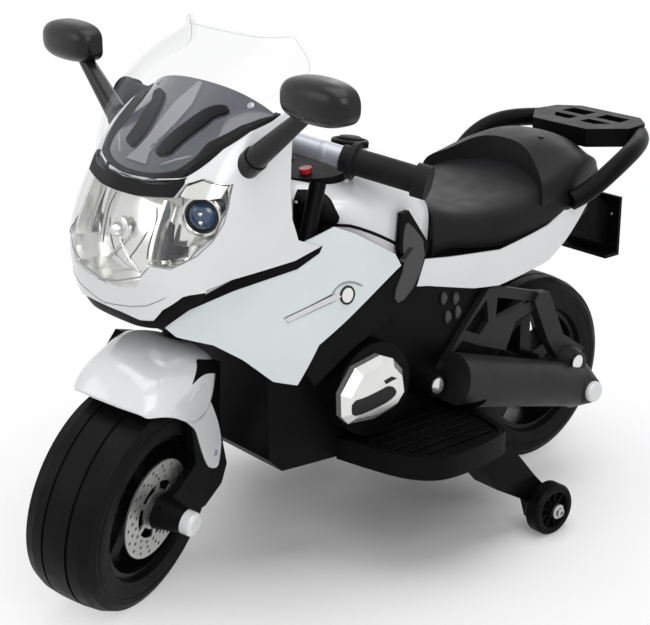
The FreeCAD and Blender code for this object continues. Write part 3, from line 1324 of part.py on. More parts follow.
def body_nodes(fairing):
    nodes = {"chassis_left": chassis_left(fairing)}
    nodes["chassis_right"] = chassis_right(nodes["chassis_left"])
    both = nodes["chassis_left"].fuse(nodes["chassis_right"])
    nodes["steering_head"] = steering_head()
    nodes["tank_cover"] = tank_on(both)
    nodes["seat"] = seat_on(both)
    nodes["dash_panel"] = dash_panel()
    nodes["power_button"] = power_button()
    nodes["direction_rocker"] = direction_rocker()
    nodes["side_panel_left"] = largest(side_panel().cut(nodes["chassis_left"]))
    nodes["tail_panel_left"] = largest(tail_panel().cut(nodes["chassis_left"]).cut(nodes["seat"]))
    nodes["engine_cover_left"] = engine_cover()
    nodes["stabiliser_arm_left"] = stabiliser_arm()
    for name in ("side_panel", "tail_panel", "engine_cover", "stabiliser_arm"):
        nodes[name + "_right"] = mirrored(nodes[name + "_left"])
    nodes["swingarm_left"] = swingarm(flank_boss())
    nodes["swingarm_right"] = mirrored(nodes["swingarm_left"])
    nodes["footboard_left"] = footboard()
    nodes["footboard_right"] = footboard_with_lugs()
    nodes["accelerator_pedal"] = accelerator_pedal()
    nodes["grab_rail"] = grab_rail(nodes["seat"], nodes["tail_panel_left"], nodes["tail_panel_right"])
    return nodes


def inner_and_tail_nodes():
    nodes = {"battery": battery(), "control_box": control_box(), "motor": motor()}
    nodes["rear_axle"] = axle(REAR_HUB, REAR_AXLE_REACH, REAR_AXLE_REACH - AXLE_CAP_RADIUS / 2)
    nodes["plate_holder"] = plate_holder()
    nodes["tail_light"] = tail_light()
    return nodes


def main():
    nodes = wheel_nodes()
    nodes.update(steering_nodes())
    nodes.update(nose_nodes())
    nodes.update(body_nodes(nodes["front_fairing"]))
    nodes.update(inner_and_tail_nodes())
    os.makedirs("parts", exist_ok=True)
    for name, shape in nodes.items():
        shape.exportStep("parts/" + name + ".step")
        print(name, shape.isValid(), len(shape.Solids), round(shape.Volume))
    print(len(nodes))


main()
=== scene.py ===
import math

import bmesh
import bpy
from mathutils import Matrix, Vector
from mathutils.bvhtree import BVHTree


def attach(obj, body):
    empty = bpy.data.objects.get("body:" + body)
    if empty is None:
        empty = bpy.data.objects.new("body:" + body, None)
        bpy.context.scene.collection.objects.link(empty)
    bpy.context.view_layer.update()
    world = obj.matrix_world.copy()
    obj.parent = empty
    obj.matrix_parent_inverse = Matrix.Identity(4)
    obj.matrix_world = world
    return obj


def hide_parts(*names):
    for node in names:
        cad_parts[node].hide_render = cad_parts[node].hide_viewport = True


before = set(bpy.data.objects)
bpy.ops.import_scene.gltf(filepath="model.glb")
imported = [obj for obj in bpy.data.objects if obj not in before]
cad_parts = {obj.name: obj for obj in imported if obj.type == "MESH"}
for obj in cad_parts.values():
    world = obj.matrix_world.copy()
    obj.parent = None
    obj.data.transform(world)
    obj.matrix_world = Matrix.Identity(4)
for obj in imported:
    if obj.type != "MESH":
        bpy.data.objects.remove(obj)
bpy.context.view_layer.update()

# Lengths are in metres. Forward is -Y, the rider's left is +X, up is +Z.
# Outlines and lines of the left side are in picture points, 650 wide and 625 high, and so are their cells and
# steps. They are set on the surface that they lie on.
OUT = Vector((1, 0, 0))
FORWARD = Vector((0, -1, 0))
UP = Vector((0, 0, 1))
FAR_AWAY = 3.0

# Camera
PICTURE_SIZE = (650, 625)
CAMERA_PLACE = Vector((1.4639, -1.2996, 0.984))
CAMERA_TARGET = Vector((0, -0.0468, 0.2961))
LENS_LENGTH = 88.09
SENSOR_WIDTH = 36.0

# Wheels and steering
FRONT_HUB = Vector((0, -0.3646, 0.13755))
REAR_HUB = Vector((0, 0.3154, 0.1365))
RAKE = math.radians(23)
STEER_AT_REST = math.radians(23)
STEER_AXIS = Vector((0, math.sin(RAKE), math.cos(RAKE)))
FRONT_AXLE = Matrix.Rotation(STEER_AT_REST, 3, STEER_AXIS) @ OUT
WHEEL_UP = (UP - FRONT_AXLE * FRONT_AXLE.z).normalized()
WHEEL_BACK = WHEEL_UP.cross(FRONT_AXLE)
TYRE_LINE = {"inner": 0.1126, "outer": 0.1154, "height": 0.0016, "edge": 0.0005}
TYRE_LINE_FOOT = 0.0474

# How pieces are built: a plate reaches SUNK into its surface, and corners are cut at CUT_SHARE of their sides
ON_FRAME = ("frame", "frame")
SUNK = 0.001
CUT_SHARE = 0.25
SOFT_ROUNDS = 1
SMOOTH_ANGLE = math.radians(35)
EDGE_ANGLE = math.radians(40)
EDGE_SEGMENTS = 2
MERGE_DISTANCE = 1e-7
TURN_SEGMENTS = 48
SMALL_SEGMENTS = 24
DOT_SEGMENTS = 16
TYRE_SEGMENTS = 96
BEAD_SIDES = 8
BEAD_END_SHARE = 0.35
OVAL_POINTS = 20

# Nose. A plate has an outline, rounds of corner cutting, a cell and how far it stands proud.
# A bead has points, a step, half a width and how far it stands proud.
VENT = {
    "outline": [(156, 156), (158, 150), (166, 140), (178, 130), (190, 121), (203, 112), (216, 106.5),
                (226, 106.5), (230, 110), (228, 114), (214, 117.5), (209, 123), (199, 130), (186, 140),
                (176, 149), (170, 155)],
    "rounds": 2, "cell": 6, "proud": 0.0034,
}
VENT_LIP = {"points": [(160, 165), (176, 160), (192, 156)], "step": 5, "width": 0.0016, "proud": 0.0014}
COWL_RIVET = (251, 106)
RIVET_PROFILE = [(0.0042, -0.001), (0.0042, 0.0012), (0.003, 0.0022), (0.0012, 0.0026)]
COWL_RIDGE = [(203, 83), (192, 106), (176, 124), (160, 140), (150, 154), (146, 165)]
COWL_PLATE = {"cell": 0.006, "proud": 0.0022, "deep": SUNK}
COWL_PLATE_EDGE = 0.001
BROW_FILL = {
    "outline": [(124, 169.5), (140, 173.5), (156, 175), (158, 185.5), (138, 183.5), (124, 179.5)],
    "cell": 5, "proud": 0.002,
}
# Painted shadow: a black band on the side panel along the fairing's lower edge, where the fairing's shadow
# falls
FAIRING_SHADOW = {
    "outline": [(150, 320), (160, 312), (190, 300), (206, 294.5), (222, 285.5), (240, 276), (295, 258.5),
                (322, 246), (319, 253), (297, 269), (233, 291), (189, 310), (172, 322), (163, 329)],
    "cell": 5, "proud": 0.0012,
}
CHIN_LINE = {
    "points": [(101, 301), (112, 304), (130, 306.5), (146, 306), (158, 301.5), (167, 297)],
    "step": 4, "width": 0.0007, "proud": 0.0005,
}
# Free edge of the screen up to its top corner, then over the top, (out, along, up)
SCREEN_SIDE = [(0.11875, -0.2086, 0.6275), (0.115, -0.1666, 0.645), (0.09875, -0.1766, 0.681)]
SCREEN_TOP = [(0.09875, -0.1766, 0.681), (0.089, -0.1891, 0.679), (0.069, -0.1979, 0.6777),
              (0.0395, -0.2016, 0.6772), (0, -0.2026, 0.677)]
SCREEN_INSET = Vector((-0.001, 0, -0.0016))
SCREEN_STEPS = 6
SCREEN_BEAD = 0.0004

# Headlight
LAMP_PLACE = Vector((0.098125, -0.3126, 0.494))
LAMP_TURN = math.radians(34)
LAMP_AXIS = Vector((math.sin(LAMP_TURN), -math.cos(LAMP_TURN), 0))
LAMP_SET_BACK = 0.009
LAMP_FRONT = LAMP_PLACE - LAMP_AXIS * LAMP_SET_BACK
LAMP_SEAT_DEPTH = 0.002
LAMP_RING = {"inner": 0.0196, "outer": 0.0236, "height": 0.004, "edge": 0.001}
LAMP_RIM = {"inner": 0.0164, "outer": 0.0196, "height": 0.003, "edge": 0.001}
LAMP_DOME = [(0.0165, -0.006), (0.0165, 0.0), (0.0145, 0.004), (0.0095, 0.0068), (0.003, 0.0078)]
LAMP_DOT_RISES = [0.0035, -0.0065]
LAMP_DOT_OUT = 0.0045
LAMP_DOT_PROFILE = [(0.0026, -0.003), (0.0026, 0.001), (0.0018, 0.002), (0.0006, 0.0024)]
LAMP_RIBS = {
    "outline": [(0.083, 0.452), (0.113, 0.455), (0.113, 0.467), (0.095, 0.473), (0.088, 0.494),
                (0.081, 0.497)],
    "cell": 0.0015, "proud": -0.013, "deep": 0.016,
}
LAMP_RIB_HEIGHT = 0.0015
LAMP_RIB_PERIOD = 0.003
LAMP_WALL = {
    "outline": [(0.074, 0.449), (0.079, 0.449), (0.0745, 0.516), (0.0695, 0.516)],
    "cell": 0.01, "proud": -0.003, "deep": 0.022,
}
LAMP_WALL_EDGE = 0.0008
LAMP_LINER = {
    "outline": [(0.088, 0.521), (0.1, 0.519), (0.121, 0.519), (0.122, 0.531), (0.104, 0.538), (0.09, 0.531)],
    "cell": 0.004, "proud": -0.0024, "deep": 0.0031,
}
BULB_PLACE = Vector((0, -0.3456, 0.468))
BULB_PROFILE = [(0.014, 0), (0.014, 0.004), (0.011, 0.006), (0.0085, 0.006), (0.0085, 0.012), (0.006, 0.017),
                (0.002, 0.019)]
LENS_LINES = [
    [(150, 266), (166, 268), (180, 265), (197, 256), (213, 241), (224, 223), (229, 205), (230, 188)],
    [(97, 279), (118, 280.5), (140, 277), (149, 267)],
]
LENS_BEAD = {"step": 4, "width": 0.0009, "proud": 0.0008}
STRUT = {"points": [(131, 236), (119, 248), (107, 259)], "step": 4, "width": 0.0022, "proud": 0.003}
TRAY_LINES = [[(157, 206), (157, 222), (149, 244), (147, 260)], [(148, 231), (138, 247), (127, 261)]]
TRAY_BEAD = {"step": 4, "width": 0.0009, "proud": 0.001, "smooth": True}

# Flank
BLADE = {
    "outline": [(284, 318.5), (310, 306), (335, 293.5), (341, 296), (336, 299.5), (312, 310.5), (288, 322)],
    "cell": 3, "proud": 0.0022,
}
BLADE_LINES = [[(283, 319), (309, 306.5), (334, 293.5)], [(287, 323), (312, 311.5), (336, 300.5)]]
BLADE_BEAD = {"step": 4, "width": 0.0006, "proud": 0.0006}
SCOOP = {
    "points": [(332, 295), (336, 288), (343, 283), (352, 281.5), (363, 286)],
    "step": 3, "width": 0.0013, "proud": 0.0012, "smooth": True,
}
# Blank badges: picture point, the node that carries it, radius
BADGES = {
    "side_badge": ((347, 295), "side_panel_left", 0.0115),
    "flank_badge": ((437, 385), "chassis_left", 0.0125),
    "wheel_badge": ((577, 362), "swingarm_left", 0.0135),
}
BADGE_RING_SHARE = 0.78
BADGE_RING_HEIGHT = 0.003
BADGE_RING_EDGE = 0.0008
BADGE_SUNK = 0.0005
BADGE_DISC = [(0.8, -0.0005), (0.8, 0.0016), (0.6, 0.0022), (0.1, 0.0026)]
INSERT = {
    "outline": [(353, 401.5), (366, 397.5), (380, 390.5), (389, 385.5), (394, 387), (397, 393), (389, 401),
                (376, 408), (356, 416.5), (351, 414)],
    "rounds": 1, "cell": 6, "proud": 0.0012,
}
INSERT_EDGE = 0.0006
NOTCH = {
    "outline": [(384, 381), (392, 376.5), (397, 378), (391, 381), (386, 384)],
    "cell": 6, "proud": 0.0008,
}
KNEE_OUTLINE = [(-0.0206, 0.384), (-0.0256, 0.406), (-0.0226, 0.436), (-0.0146, 0.438), (0.0164, 0.402),
                (0.0, 0.357), (-0.029, 0.334), (-0.04, 0.348)]
KNEE_FACE = 0.119
KNEE_PROUD = 0.0022
KNEE_EDGE = 0.001
KNEE_SLOT = {
    "outline": [(399, 262), (402, 254), (409, 246.5), (412, 247.5), (406, 256), (403, 263)],
    "cell": 6, "proud": 0.003,
}
TANK_SHADE = {
    "outline": [(294, 190), (308, 190), (320, 191), (330, 198), (335, 208), (341, 220), (330, 228),
                (294, 228)],
    "rounds": 1, "cell": 5, "proud": 0.0012,
}
TANK_SEAM = {
    "points": [(318, 227), (345, 224.5), (365, 230), (385, 238), (402, 247)],
    "step": 4, "width": 0.002, "proud": 0.0014, "smooth": True,
}

# Mirrors
MIRROR_MIDDLE = Vector((0.23675, -0.2536, 0.639))
MIRROR_HALF_LENGTH = 0.052
MIRROR_HALF_HEIGHT = 0.0245
MIRROR_BACK_SHARE = 0.3
MIRROR_SQUARE_SHARE = 0.72
MIRROR_RING_SHARES = [(-0.93, 0.64), (-0.76, 0.84), (-0.4, 0.97), (0.15, 1.0), (0.56, 0.92), (0.82, 0.74),
                      (0.95, 0.5)]
GLASS_SHARE = 0.9
GLASS_PLATE = {"cell": 0.01, "proud": 0.0008, "deep": SUNK}
GLASS_EDGE = 0.0004

# Footboards: the place of each rib across the board, with its front and back end
FOOTBOARD_RIBS = {0.106: (-0.082, 0.076), 0.124: (-0.082, 0.074), 0.142: (-0.079, 0.072),
                  0.16: (-0.076, 0.07), 0.178: (-0.071, 0.067), 0.196: (-0.062, 0.06)}
PEDAL_SIDE_RIBS = [0.106, 0.196]
RIB_HALF_WIDTH = 0.0025
RIB_PLATE = {"cell": 0.05, "proud": 0.003, "deep": 0.0005}
RIB_EDGE = 0.0008

# Stabilisers
STABILISER_HUB = Vector((0.218, 0.1554, 0.035))
SPOKE_COUNT = 9
SPOKE_FOOT = 0.0033
SPOKE_INNER = 0.0118
SPOKE_OUTER = 0.0238
SPOKE_WIDTH = 0.0038
SPOKE_HEIGHT = 0.005
SPOKE_TAPER = 0.3
SPOKE_EDGE = 0.0005
BOLT_OUT = 0.014
BOLT_PROFILE = [(0.0098, 0), (0.0098, 0.0035), (0.0075, 0.0046), (0.0062, 0.0048), (0.006, 0.008),
                (0.0045, 0.009), (0.0028, 0.009), (0.0026, 0.006), (0.001, 0.006)]

# Front fender: sections from the front edge to the back, each from the crown to the edge, as (out, back, up)
# from the hub. The leg's outline is (back, up).
FENDER_SECTIONS = [
    [(0, -0.056, 0.147), (0.02, -0.055, 0.146), (0.037, -0.051, 0.145), (0.046, -0.048, 0.143),
     (0.049, -0.045, 0.14)],
    [(0, -0.037, 0.172), (0.022, -0.037, 0.171), (0.043, -0.036, 0.164), (0.056, -0.036, 0.152),
     (0.059, -0.035, 0.142)],
    [(0, -0.01, 0.187), (0.024, -0.01, 0.186), (0.048, -0.011, 0.177), (0.063, -0.013, 0.157),
     (0.065, -0.014, 0.136)],
    [(0, 0.022, 0.194), (0.025, 0.021, 0.192), (0.05, 0.018, 0.183), (0.065, 0.012, 0.155),
     (0.0655, 0.01, 0.121)],
    [(0, 0.055, 0.193), (0.025, 0.053, 0.192), (0.056, 0.049, 0.187), (0.0655, 0.042, 0.165),
     (0.065, 0.036, 0.106)],
    [(0, 0.09, 0.178), (0.024, 0.088, 0.178), (0.056, 0.082, 0.174), (0.0655, 0.072, 0.152),
     (0.065, 0.066, 0.11)],
]
FENDER_WALL = 0.0025
FENDER_SMOOTHING = 3
FENDER_LEG = [(0.02, 0.15), (0.012, 0.121), (0.024, 0.111), (0.042, 0.096), (0.053, 0.076), (0.064, 0.056),
              (0.076, 0.037), (0.086, 0.025), (0.106, 0.017), (0.1085, 0.032), (0.107, 0.056), (0.096, 0.082),
              (0.08, 0.108), (0.066, 0.128), (0.058, 0.142), (0.05, 0.158)]
FENDER_LEG_INNER = 0.063
FENDER_LEG_OUTER = 0.066
FENDER_LEG_EDGE = 0.001

# Small parts on the rest of the body
GRILLE_POINTS = [(443, 298), (455, 298), (447, 317), (457, 312)]
GRILLE_BUMP_HALF_SIZES = (0.005, 0.009)
GRILLE_BUMP_HEIGHT = 0.003
GRILLE_BUMP_PLATE = {"cell": 0.003, "proud": 0.0008, "deep": SUNK}
GRILLE_LINES = [[(463, 329), (478, 297)], [(471, 329), (485, 299)], [(479, 329), (491, 304)]]
GRILLE_BEAD = {"step": 8, "width": 0.0014, "proud": 0.0014}
FENDER_SCREW = (215, 453)
SEAT_SCREW = (541, 137)
SCREW_PROFILE = [(0.0038, -0.001), (0.0038, 0.001), (0.0031, 0.0018), (0.0017, 0.0018), (0.0015, 0.0006),
                 (0.0004, 0.0006)]
CAP_PLACE = (0, -0.006)
CAP_PROFILE = [(0.024, -0.002), (0.024, 0.004), (0.0225, 0.006), (0.019, 0.0065), (0.0185, 0.005),
               (0.016, 0.005), (0.0155, 0.008), (0.013, 0.0095), (0.003, 0.01)]

# Materials: a cloud is a scale and a detail, a bump is a strength and a depth
CLOUD_RANGE = (0.3, 0.7)
COLOUR_CLOUD = (14, 3)
GLOSS_CLOUD = (40, 4)
GRAIN_DETAIL = 3
GRAIN_DEPTH = 0.0004
COAT_ROUGHNESS = 0.06
TYRE_FINISH = {"dark": (0.0035, 0.0035, 0.0038), "light": (0.0065, 0.0065, 0.007), "roughness": (0.42, 0.56),
               "grain": 900, "bump": 0.3, "shine": 0.08}
TYRE_RIDGE_PERIOD = 0.009
TYRE_CLOUD = (160, 2)
TYRE_BUMP = (0.12, 0.0006)
DISC_FINISH = {"dark": (0.5, 0.5, 0.49), "light": (0.6, 0.6, 0.59), "roughness": (0.3, 0.42),
               "grain": 500, "bump": 0.1, "metallic": 0.9}
BRUSH_PERIOD = 0.0016
BRUSH_BUMP = (0.1, 0.0003)
CLEAR_COLOUR_CLOUD = (6, 2)
CLEAR_GLOSS_CLOUD = (30, 3)
CLEAR_DULL_SHARE = 0.97
CLEAR_BLEND = 0.35
TRAY_EDGE_HEIGHT = 0.411

# Light and floor: each lamp has a place, a size and a power
LAMPS = {
    "above": ((0.2, -0.1, 2.8), (2.2, 2.2), 38),
    "key": ((2.2, -0.9, 1.9), (1.6, 1.6), 27),
    "front": ((-1.2, -2.6, 1.6), (1.6, 1.6), 14),
    "behind": ((-1.4, 2.2, 1.8), (1.6, 1.2), 10),
}
WORLD_STRENGTHS = (0.3, 1.0)
FLOOR_RADIUS = 9.0
FLOOR_SEGMENTS = 96
FLOOR_COLOURS = ((0.93, 0.93, 0.93), (0.95, 0.95, 0.95))
FLOOR_CLOUD = (3, 2)
FLOOR_ROUGHNESS = 0.6
FLOOR_SHINE = 0.2
FLOOR_GLOW = 1.0
FLOOR_FADE = (0.1, 0.66)


# Places on the surfaces

def photo_ray(point):
    ahead = (CAMERA_TARGET - CAMERA_PLACE).normalized()
    right = ahead.cross(UP).normalized()
    above = right.cross(ahead)
    focal = LENS_LENGTH / SENSOR_WIDTH * PICTURE_SIZE[0]
    across = (point[0] - PICTURE_SIZE[0] / 2) / focal
    rise = (PICTURE_SIZE[1] / 2 - point[1]) / focal
    return (ahead + right * across + above * rise).normalized()


def surface(*names):
    points = []
    faces = []
    for name in names:
        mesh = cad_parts[name].data
        start = len(points)
        points += [vertex.co.copy() for vertex in mesh.vertices]
        faces += [[start + index for index in polygon.vertices] for polygon in mesh.polygons]
    return BVHTree.FromPolygons(points, faces)


def from_photo(point):
    return CAMERA_PLACE, photo_ray(point)


def from_left(point):
    return Vector((FAR_AWAY, point[0], point[1])), -OUT


def from_front(point):
    return Vector((point[0], -FAR_AWAY, point[1])), -FORWARD


def from_behind(point):
    return Vector((point[0], FAR_AWAY, point[1])), FORWARD


def from_above(point):
    return Vector((point[0], point[1], FAR_AWAY)), -UP


def struck(tree, ray):
    place, normal, _, _ = tree.ray_cast(*ray)
    if place is None:
        return None
    if normal.dot(ray[1]) > 0:
        normal = -normal
    return place, normal


def ray_gap(first, second):
    return (first[1] - second[1]).length + (first[0] - second[0]).length


def struck_all(tree, rays):
    """Where each ray meets the surface; one that misses meets the plane of the nearest ray that hits."""
    found = [struck(tree, ray) for ray in rays]
    known = [index for index, hit in enumerate(found) if hit]
    for index, hit in enumerate(found):
        if hit:
            continue
        start, direction = rays[index]
        nearest = min(known, key=lambda other: ray_gap(rays[other], rays[index]))
        place, normal = found[nearest]
        distance = (place - start).dot(normal) / direction.dot(normal)
        found[index] = (start + direction * distance, normal)
    return found


def wheel_point(out, back, rise):
    return FRONT_HUB + FRONT_AXLE * out + WHEEL_BACK * back + WHEEL_UP * rise


# Outlines and lines

def between(start, end, share):
    return ((1 - share) * start[0] + share * end[0], (1 - share) * start[1] + share * end[1])


def corner_cut(start, end):
    return [between(start, end, CUT_SHARE), between(start, end, 1 - CUT_SHARE)]


def rounded(outline, rounds):
    for _ in range(rounds):
        cut = []
        for start, end in zip(outline, outline[1:] + outline[:1]):
            cut += corner_cut(start, end)
        outline = cut
    return outline


def rounded_line(points):
    smooth = [points[0]]
    for start, end in zip(points, points[1:]):
        smooth += corner_cut(start, end)
    return smooth + [points[-1]]


def spaced(points, step):
    line = [points[0]]
    for start, end in zip(points, points[1:]):
        count = max(1, int(math.dist(start, end) / step))
        line += [between(start, end, number / count) for number in range(1, count + 1)]
    return line


def passing(points, steps):
    """A smooth line through points in space."""
    ends = [points[0]] + points + [points[-1]]
    line = []
    for before, start, end, after in zip(ends, ends[1:], ends[2:], ends[3:]):
        bend = (end - before) / 2
        sag = 2 * before - 5 * start + 4 * end - after
        twist = 3 * start - before - 3 * end + after
        for number in range(steps):
            share = number / steps
            line.append(start + bend * share + sag * (share ** 2 / 2) + twist * (share ** 3 / 2))
    return line + [points[-1]]


def turns(count):
    return [2 * math.pi * number / count for number in range(count)]


def oval(middle, half_sizes):
    return [(middle[0] + half_sizes[0] * math.cos(turn), middle[1] + half_sizes[1] * math.sin(turn))
            for turn in turns(OVAL_POINTS)]


def ring_profile(inner, outer, height, edge):
    return [(inner, 0), (inner, height - edge), (inner + edge, height), (outer - edge, height),
            (outer, height - edge), (outer, 0), (inner, 0)]


# Building pieces

def soften(piece, bevel):
    for polygon in piece.data.polygons:
        polygon.use_smooth = True
    piece.data.set_sharp_from_angle(angle=SMOOTH_ANGLE)
    if bevel:
        edge = piece.modifiers.new("edge", "BEVEL")
        edge.width = bevel
        edge.segments = EDGE_SEGMENTS
        edge.limit_method = "ANGLE"
        edge.angle_limit = EDGE_ANGLE
        edge.harden_normals = True


def finished(name, build, material, body, bevel=0.0):
    bmesh.ops.recalc_face_normals(build, faces=build.faces)
    mesh = bpy.data.meshes.new(name)
    build.to_mesh(mesh)
    build.free()
    piece = bpy.data.objects.new(name, mesh)
    bpy.context.scene.collection.objects.link(piece)
    mesh.materials.append(material)
    soften(piece, bevel)
    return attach(piece, body)


def both(name, build, flip, material, bodies, bevel):
    """A left piece and its flipped copy; bodies names the body of each."""
    other = build.copy()
    bmesh.ops.transform(other, matrix=flip, verts=other.verts)
    finished(name + "_left", build, material, bodies[0], bevel)
    finished(name + "_right", other, material, bodies[1], bevel)


def both_sides(name, build, material, bevel=0.0, bodies=ON_FRAME):
    both(name, build, Matrix.Scale(-1, 4, OUT), material, bodies, bevel)


def both_steered(name, build, material, body, bevel=0.0):
    """As both_sides, for a piece of the steering: the mirror plane is the middle of the front wheel."""
    flip = Matrix.Translation(FRONT_HUB) @ Matrix.Scale(-1, 4, FRONT_AXLE) @ Matrix.Translation(-FRONT_HUB)
    both(name, build, flip, material, (body, body), bevel)


def merged(builds):
    whole = bmesh.new()
    for build in builds:
        mesh = bpy.data.meshes.new("part")
        build.to_mesh(mesh)
        whole.from_mesh(mesh)
        bpy.data.meshes.remove(mesh)
        build.free()
    return whole


def join_rings(build, rings):
    for lower, upper in zip(rings, rings[1:]):
        for number in range(len(lower)):
            after = (number + 1) % len(lower)
            build.faces.new([lower[number], lower[after], upper[after], upper[number]])


def close_ends(build, rings):
    build.faces.new(list(reversed(rings[0])))
    build.faces.new(rings[-1])


def flat_cells(outline, cell):
    build = bmesh.new()
    build.faces.new([build.verts.new((x, y, 0)) for x, y in outline])
    for axis, across in enumerate((Vector((1, 0, 0)), Vector((0, 1, 0)))):
        low = min(point[axis] for point in outline)
        high = max(point[axis] for point in outline)
        for step in range(1, int((high - low) / cell) + 1):
            everything = build.verts[:] + build.edges[:] + build.faces[:]
            cut = across * (low + step * cell)
            bmesh.ops.bisect_plane(build, geom=everything, plane_co=cut, plane_no=across)
    bmesh.ops.triangulate(build, faces=build.faces)
    return build


def laid(tree, outline, look, cell, proud, deep, relief=None):
    """A plate that follows a surface: proud of it on top, deep into it below."""
    flat = flat_cells(outline, cell)
    flat.verts.index_update()
    points = [(vert.co.x, vert.co.y) for vert in flat.verts]
    hits = struck_all(tree, [look(point) for point in points])
    build = bmesh.new()
    top = []
    bottom = []
    for point, (place, normal) in zip(points, hits):
        extra = relief(point) if relief else 0
        top.append(build.verts.new(place + normal * (proud + extra)))
        bottom.append(build.verts.new(place - normal * deep))
    for face in flat.faces:
        corners = [vert.index for vert in face.verts]
        build.faces.new([top[index] for index in corners])
        build.faces.new([bottom[index] for index in reversed(corners)])
    for edge in flat.edges:
        if edge.is_boundary:
            first, second = (vert.index for vert in edge.verts)
            build.faces.new([top[first], top[second], bottom[second], bottom[first]])
    flat.free()
    return build


def photo_plate(tree, outline, cell, proud, rounds=0):
    """A plate with an outline in picture points."""
    return laid(tree, rounded(outline, rounds), from_photo, cell, proud, SUNK)


def turned(profile, place, axis, segments=TURN_SEGMENTS):
    """A profile of (radius, height) points turned about an axis."""
    build = bmesh.new()
    rings = []
    for radius, height in profile:
        corners = [(radius * math.cos(turn), radius * math.sin(turn), height) for turn in turns(segments)]
        rings.append([build.verts.new(corner) for corner in corners])
    join_rings(build, rings)
    if profile[0] == profile[-1]:
        bmesh.ops.remove_doubles(build, verts=build.verts, dist=MERGE_DISTANCE)
    else:
        close_ends(build, rings)
    lean = UP.rotation_difference(axis.normalized()).to_matrix().to_4x4()
    bmesh.ops.transform(build, matrix=Matrix.Translation(place) @ lean, verts=build.verts)
    return build


def bead(points, normals, width, proud):
    """A rounded cord of plastic that runs over a surface."""
    build = bmesh.new()
    rings = []
    last = len(points) - 1
    for index, (point, normal) in enumerate(zip(points, normals)):
        ahead = (points[min(index + 1, last)] - points[max(index - 1, 0)]).normalized()
        across = ahead.cross(normal).normalized()
        thin = BEAD_END_SHARE if index in (0, last) else 1.0
        ring = []
        for turn in turns(BEAD_SIDES):
            offset = across * (width * thin * math.cos(turn)) + normal * (proud * thin * math.sin(turn))
            ring.append(build.verts.new(point + offset))
        rings.append(ring)
    join_rings(build, rings)
    close_ends(build, rings)
    return build


def photo_bead(tree, points, step, width, proud, smooth=False):
    """A bead along a line in picture points."""
    line = rounded_line(points) if smooth else points
    hits = struck_all(tree, [from_photo(point) for point in spaced(line, step)])
    return bead([place for place, _ in hits], [normal for _, normal in hits], width, proud)


def slab(lower, upper):
    """A solid between two outlines in space."""
    build = bmesh.new()
    rings = [[build.verts.new(point) for point in outline] for outline in (lower, upper)]
    join_rings(build, rings)
    close_ends(build, rings)
    return build


def spoke(start, end, normal):
    """A straight bar with a flat top, narrower than its foot."""
    across = (end - start).cross(normal).normalized() * (SPOKE_WIDTH / 2)
    rise = normal * SPOKE_HEIGHT
    narrow = across * (1 - SPOKE_TAPER)
    foot = [start + across, start - across, end - across, end + across]
    top = [start + narrow + rise, start - narrow + rise, end - narrow + rise, end + narrow + rise]
    return slab(foot, top)


# Material nodes

def shader_of(name):
    material = bpy.data.materials.new(name)
    material.use_nodes = True
    return material, material.node_tree, material.node_tree.nodes["Principled BSDF"]


def object_place(tree):
    return tree.nodes.new("ShaderNodeTexCoord").outputs["Object"]


def cloud(tree, scale, detail):
    noise = tree.nodes.new("ShaderNodeTexNoise")
    noise.inputs["Scale"].default_value = scale
    noise.inputs["Detail"].default_value = detail
    tree.links.new(object_place(tree), noise.inputs["Vector"])
    return noise.outputs["Fac"]


def ranged(tree, source, ends, results):
    """Maps one range of values onto another."""
    remap = tree.nodes.new("ShaderNodeMapRange")
    for word, value in zip(("From Min", "From Max", "To Min", "To Max"), (*ends, *results)):
        remap.inputs[word].default_value = value
    tree.links.new(source, remap.inputs["Value"])
    return remap


def spread(tree, source, results):
    return ranged(tree, source, CLOUD_RANGE, results).outputs["Result"]


def tint(tree, source, dark, light):
    ramp = tree.nodes.new("ShaderNodeValToRGB")
    for element, position, colour in zip(ramp.color_ramp.elements, CLOUD_RANGE, (dark, light)):
        element.position = position
        element.color = (*colour, 1)
    tree.links.new(source, ramp.inputs["Fac"])
    return ramp.outputs["Color"]


def maths(tree, operation, *values):
    """An operation on one or two values, each a socket or a number."""
    node = tree.nodes.new("ShaderNodeMath")
    node.operation = operation
    for socket, value in zip(node.inputs, values):
        if isinstance(value, bpy.types.NodeSocket):
            tree.links.new(value, socket)
        else:
            socket.default_value = value
    return node.outputs["Value"]


def vector_maths(tree, operation, source, other=(0, 0, 0)):
    node = tree.nodes.new("ShaderNodeVectorMath")
    node.operation = operation
    tree.links.new(source, node.inputs[0])
    node.inputs[1].default_value = other
    return node


def wheel_radius(tree, hub, axle):
    """Distance from the axle, for marks that run round a wheel."""
    from_hub = vector_maths(tree, "SUBTRACT", object_place(tree), hub).outputs["Vector"]
    reach = vector_maths(tree, "CROSS_PRODUCT", from_hub, axle).outputs["Vector"]
    return vector_maths(tree, "LENGTH", reach).outputs["Value"]


def wave(tree, source, period):
    return maths(tree, "SINE", maths(tree, "MULTIPLY", source, 2 * math.pi / period))


def above_level(tree, height):
    """1 above a level in the frame, 0 below it."""
    parts = tree.nodes.new("ShaderNodeSeparateXYZ")
    tree.links.new(object_place(tree), parts.inputs["Vector"])
    return maths(tree, "GREATER_THAN", parts.outputs["Z"], height)


def bumped(tree, shader, source, strength, depth):
    bump = tree.nodes.new("ShaderNodeBump")
    bump.inputs["Strength"].default_value = strength
    bump.inputs["Distance"].default_value = depth
    tree.links.new(source, bump.inputs["Height"])
    if shader.inputs["Normal"].links:
        tree.links.new(shader.inputs["Normal"].links[0].from_socket, bump.inputs["Normal"])
    tree.links.new(bump.outputs["Normal"], shader.inputs["Normal"])


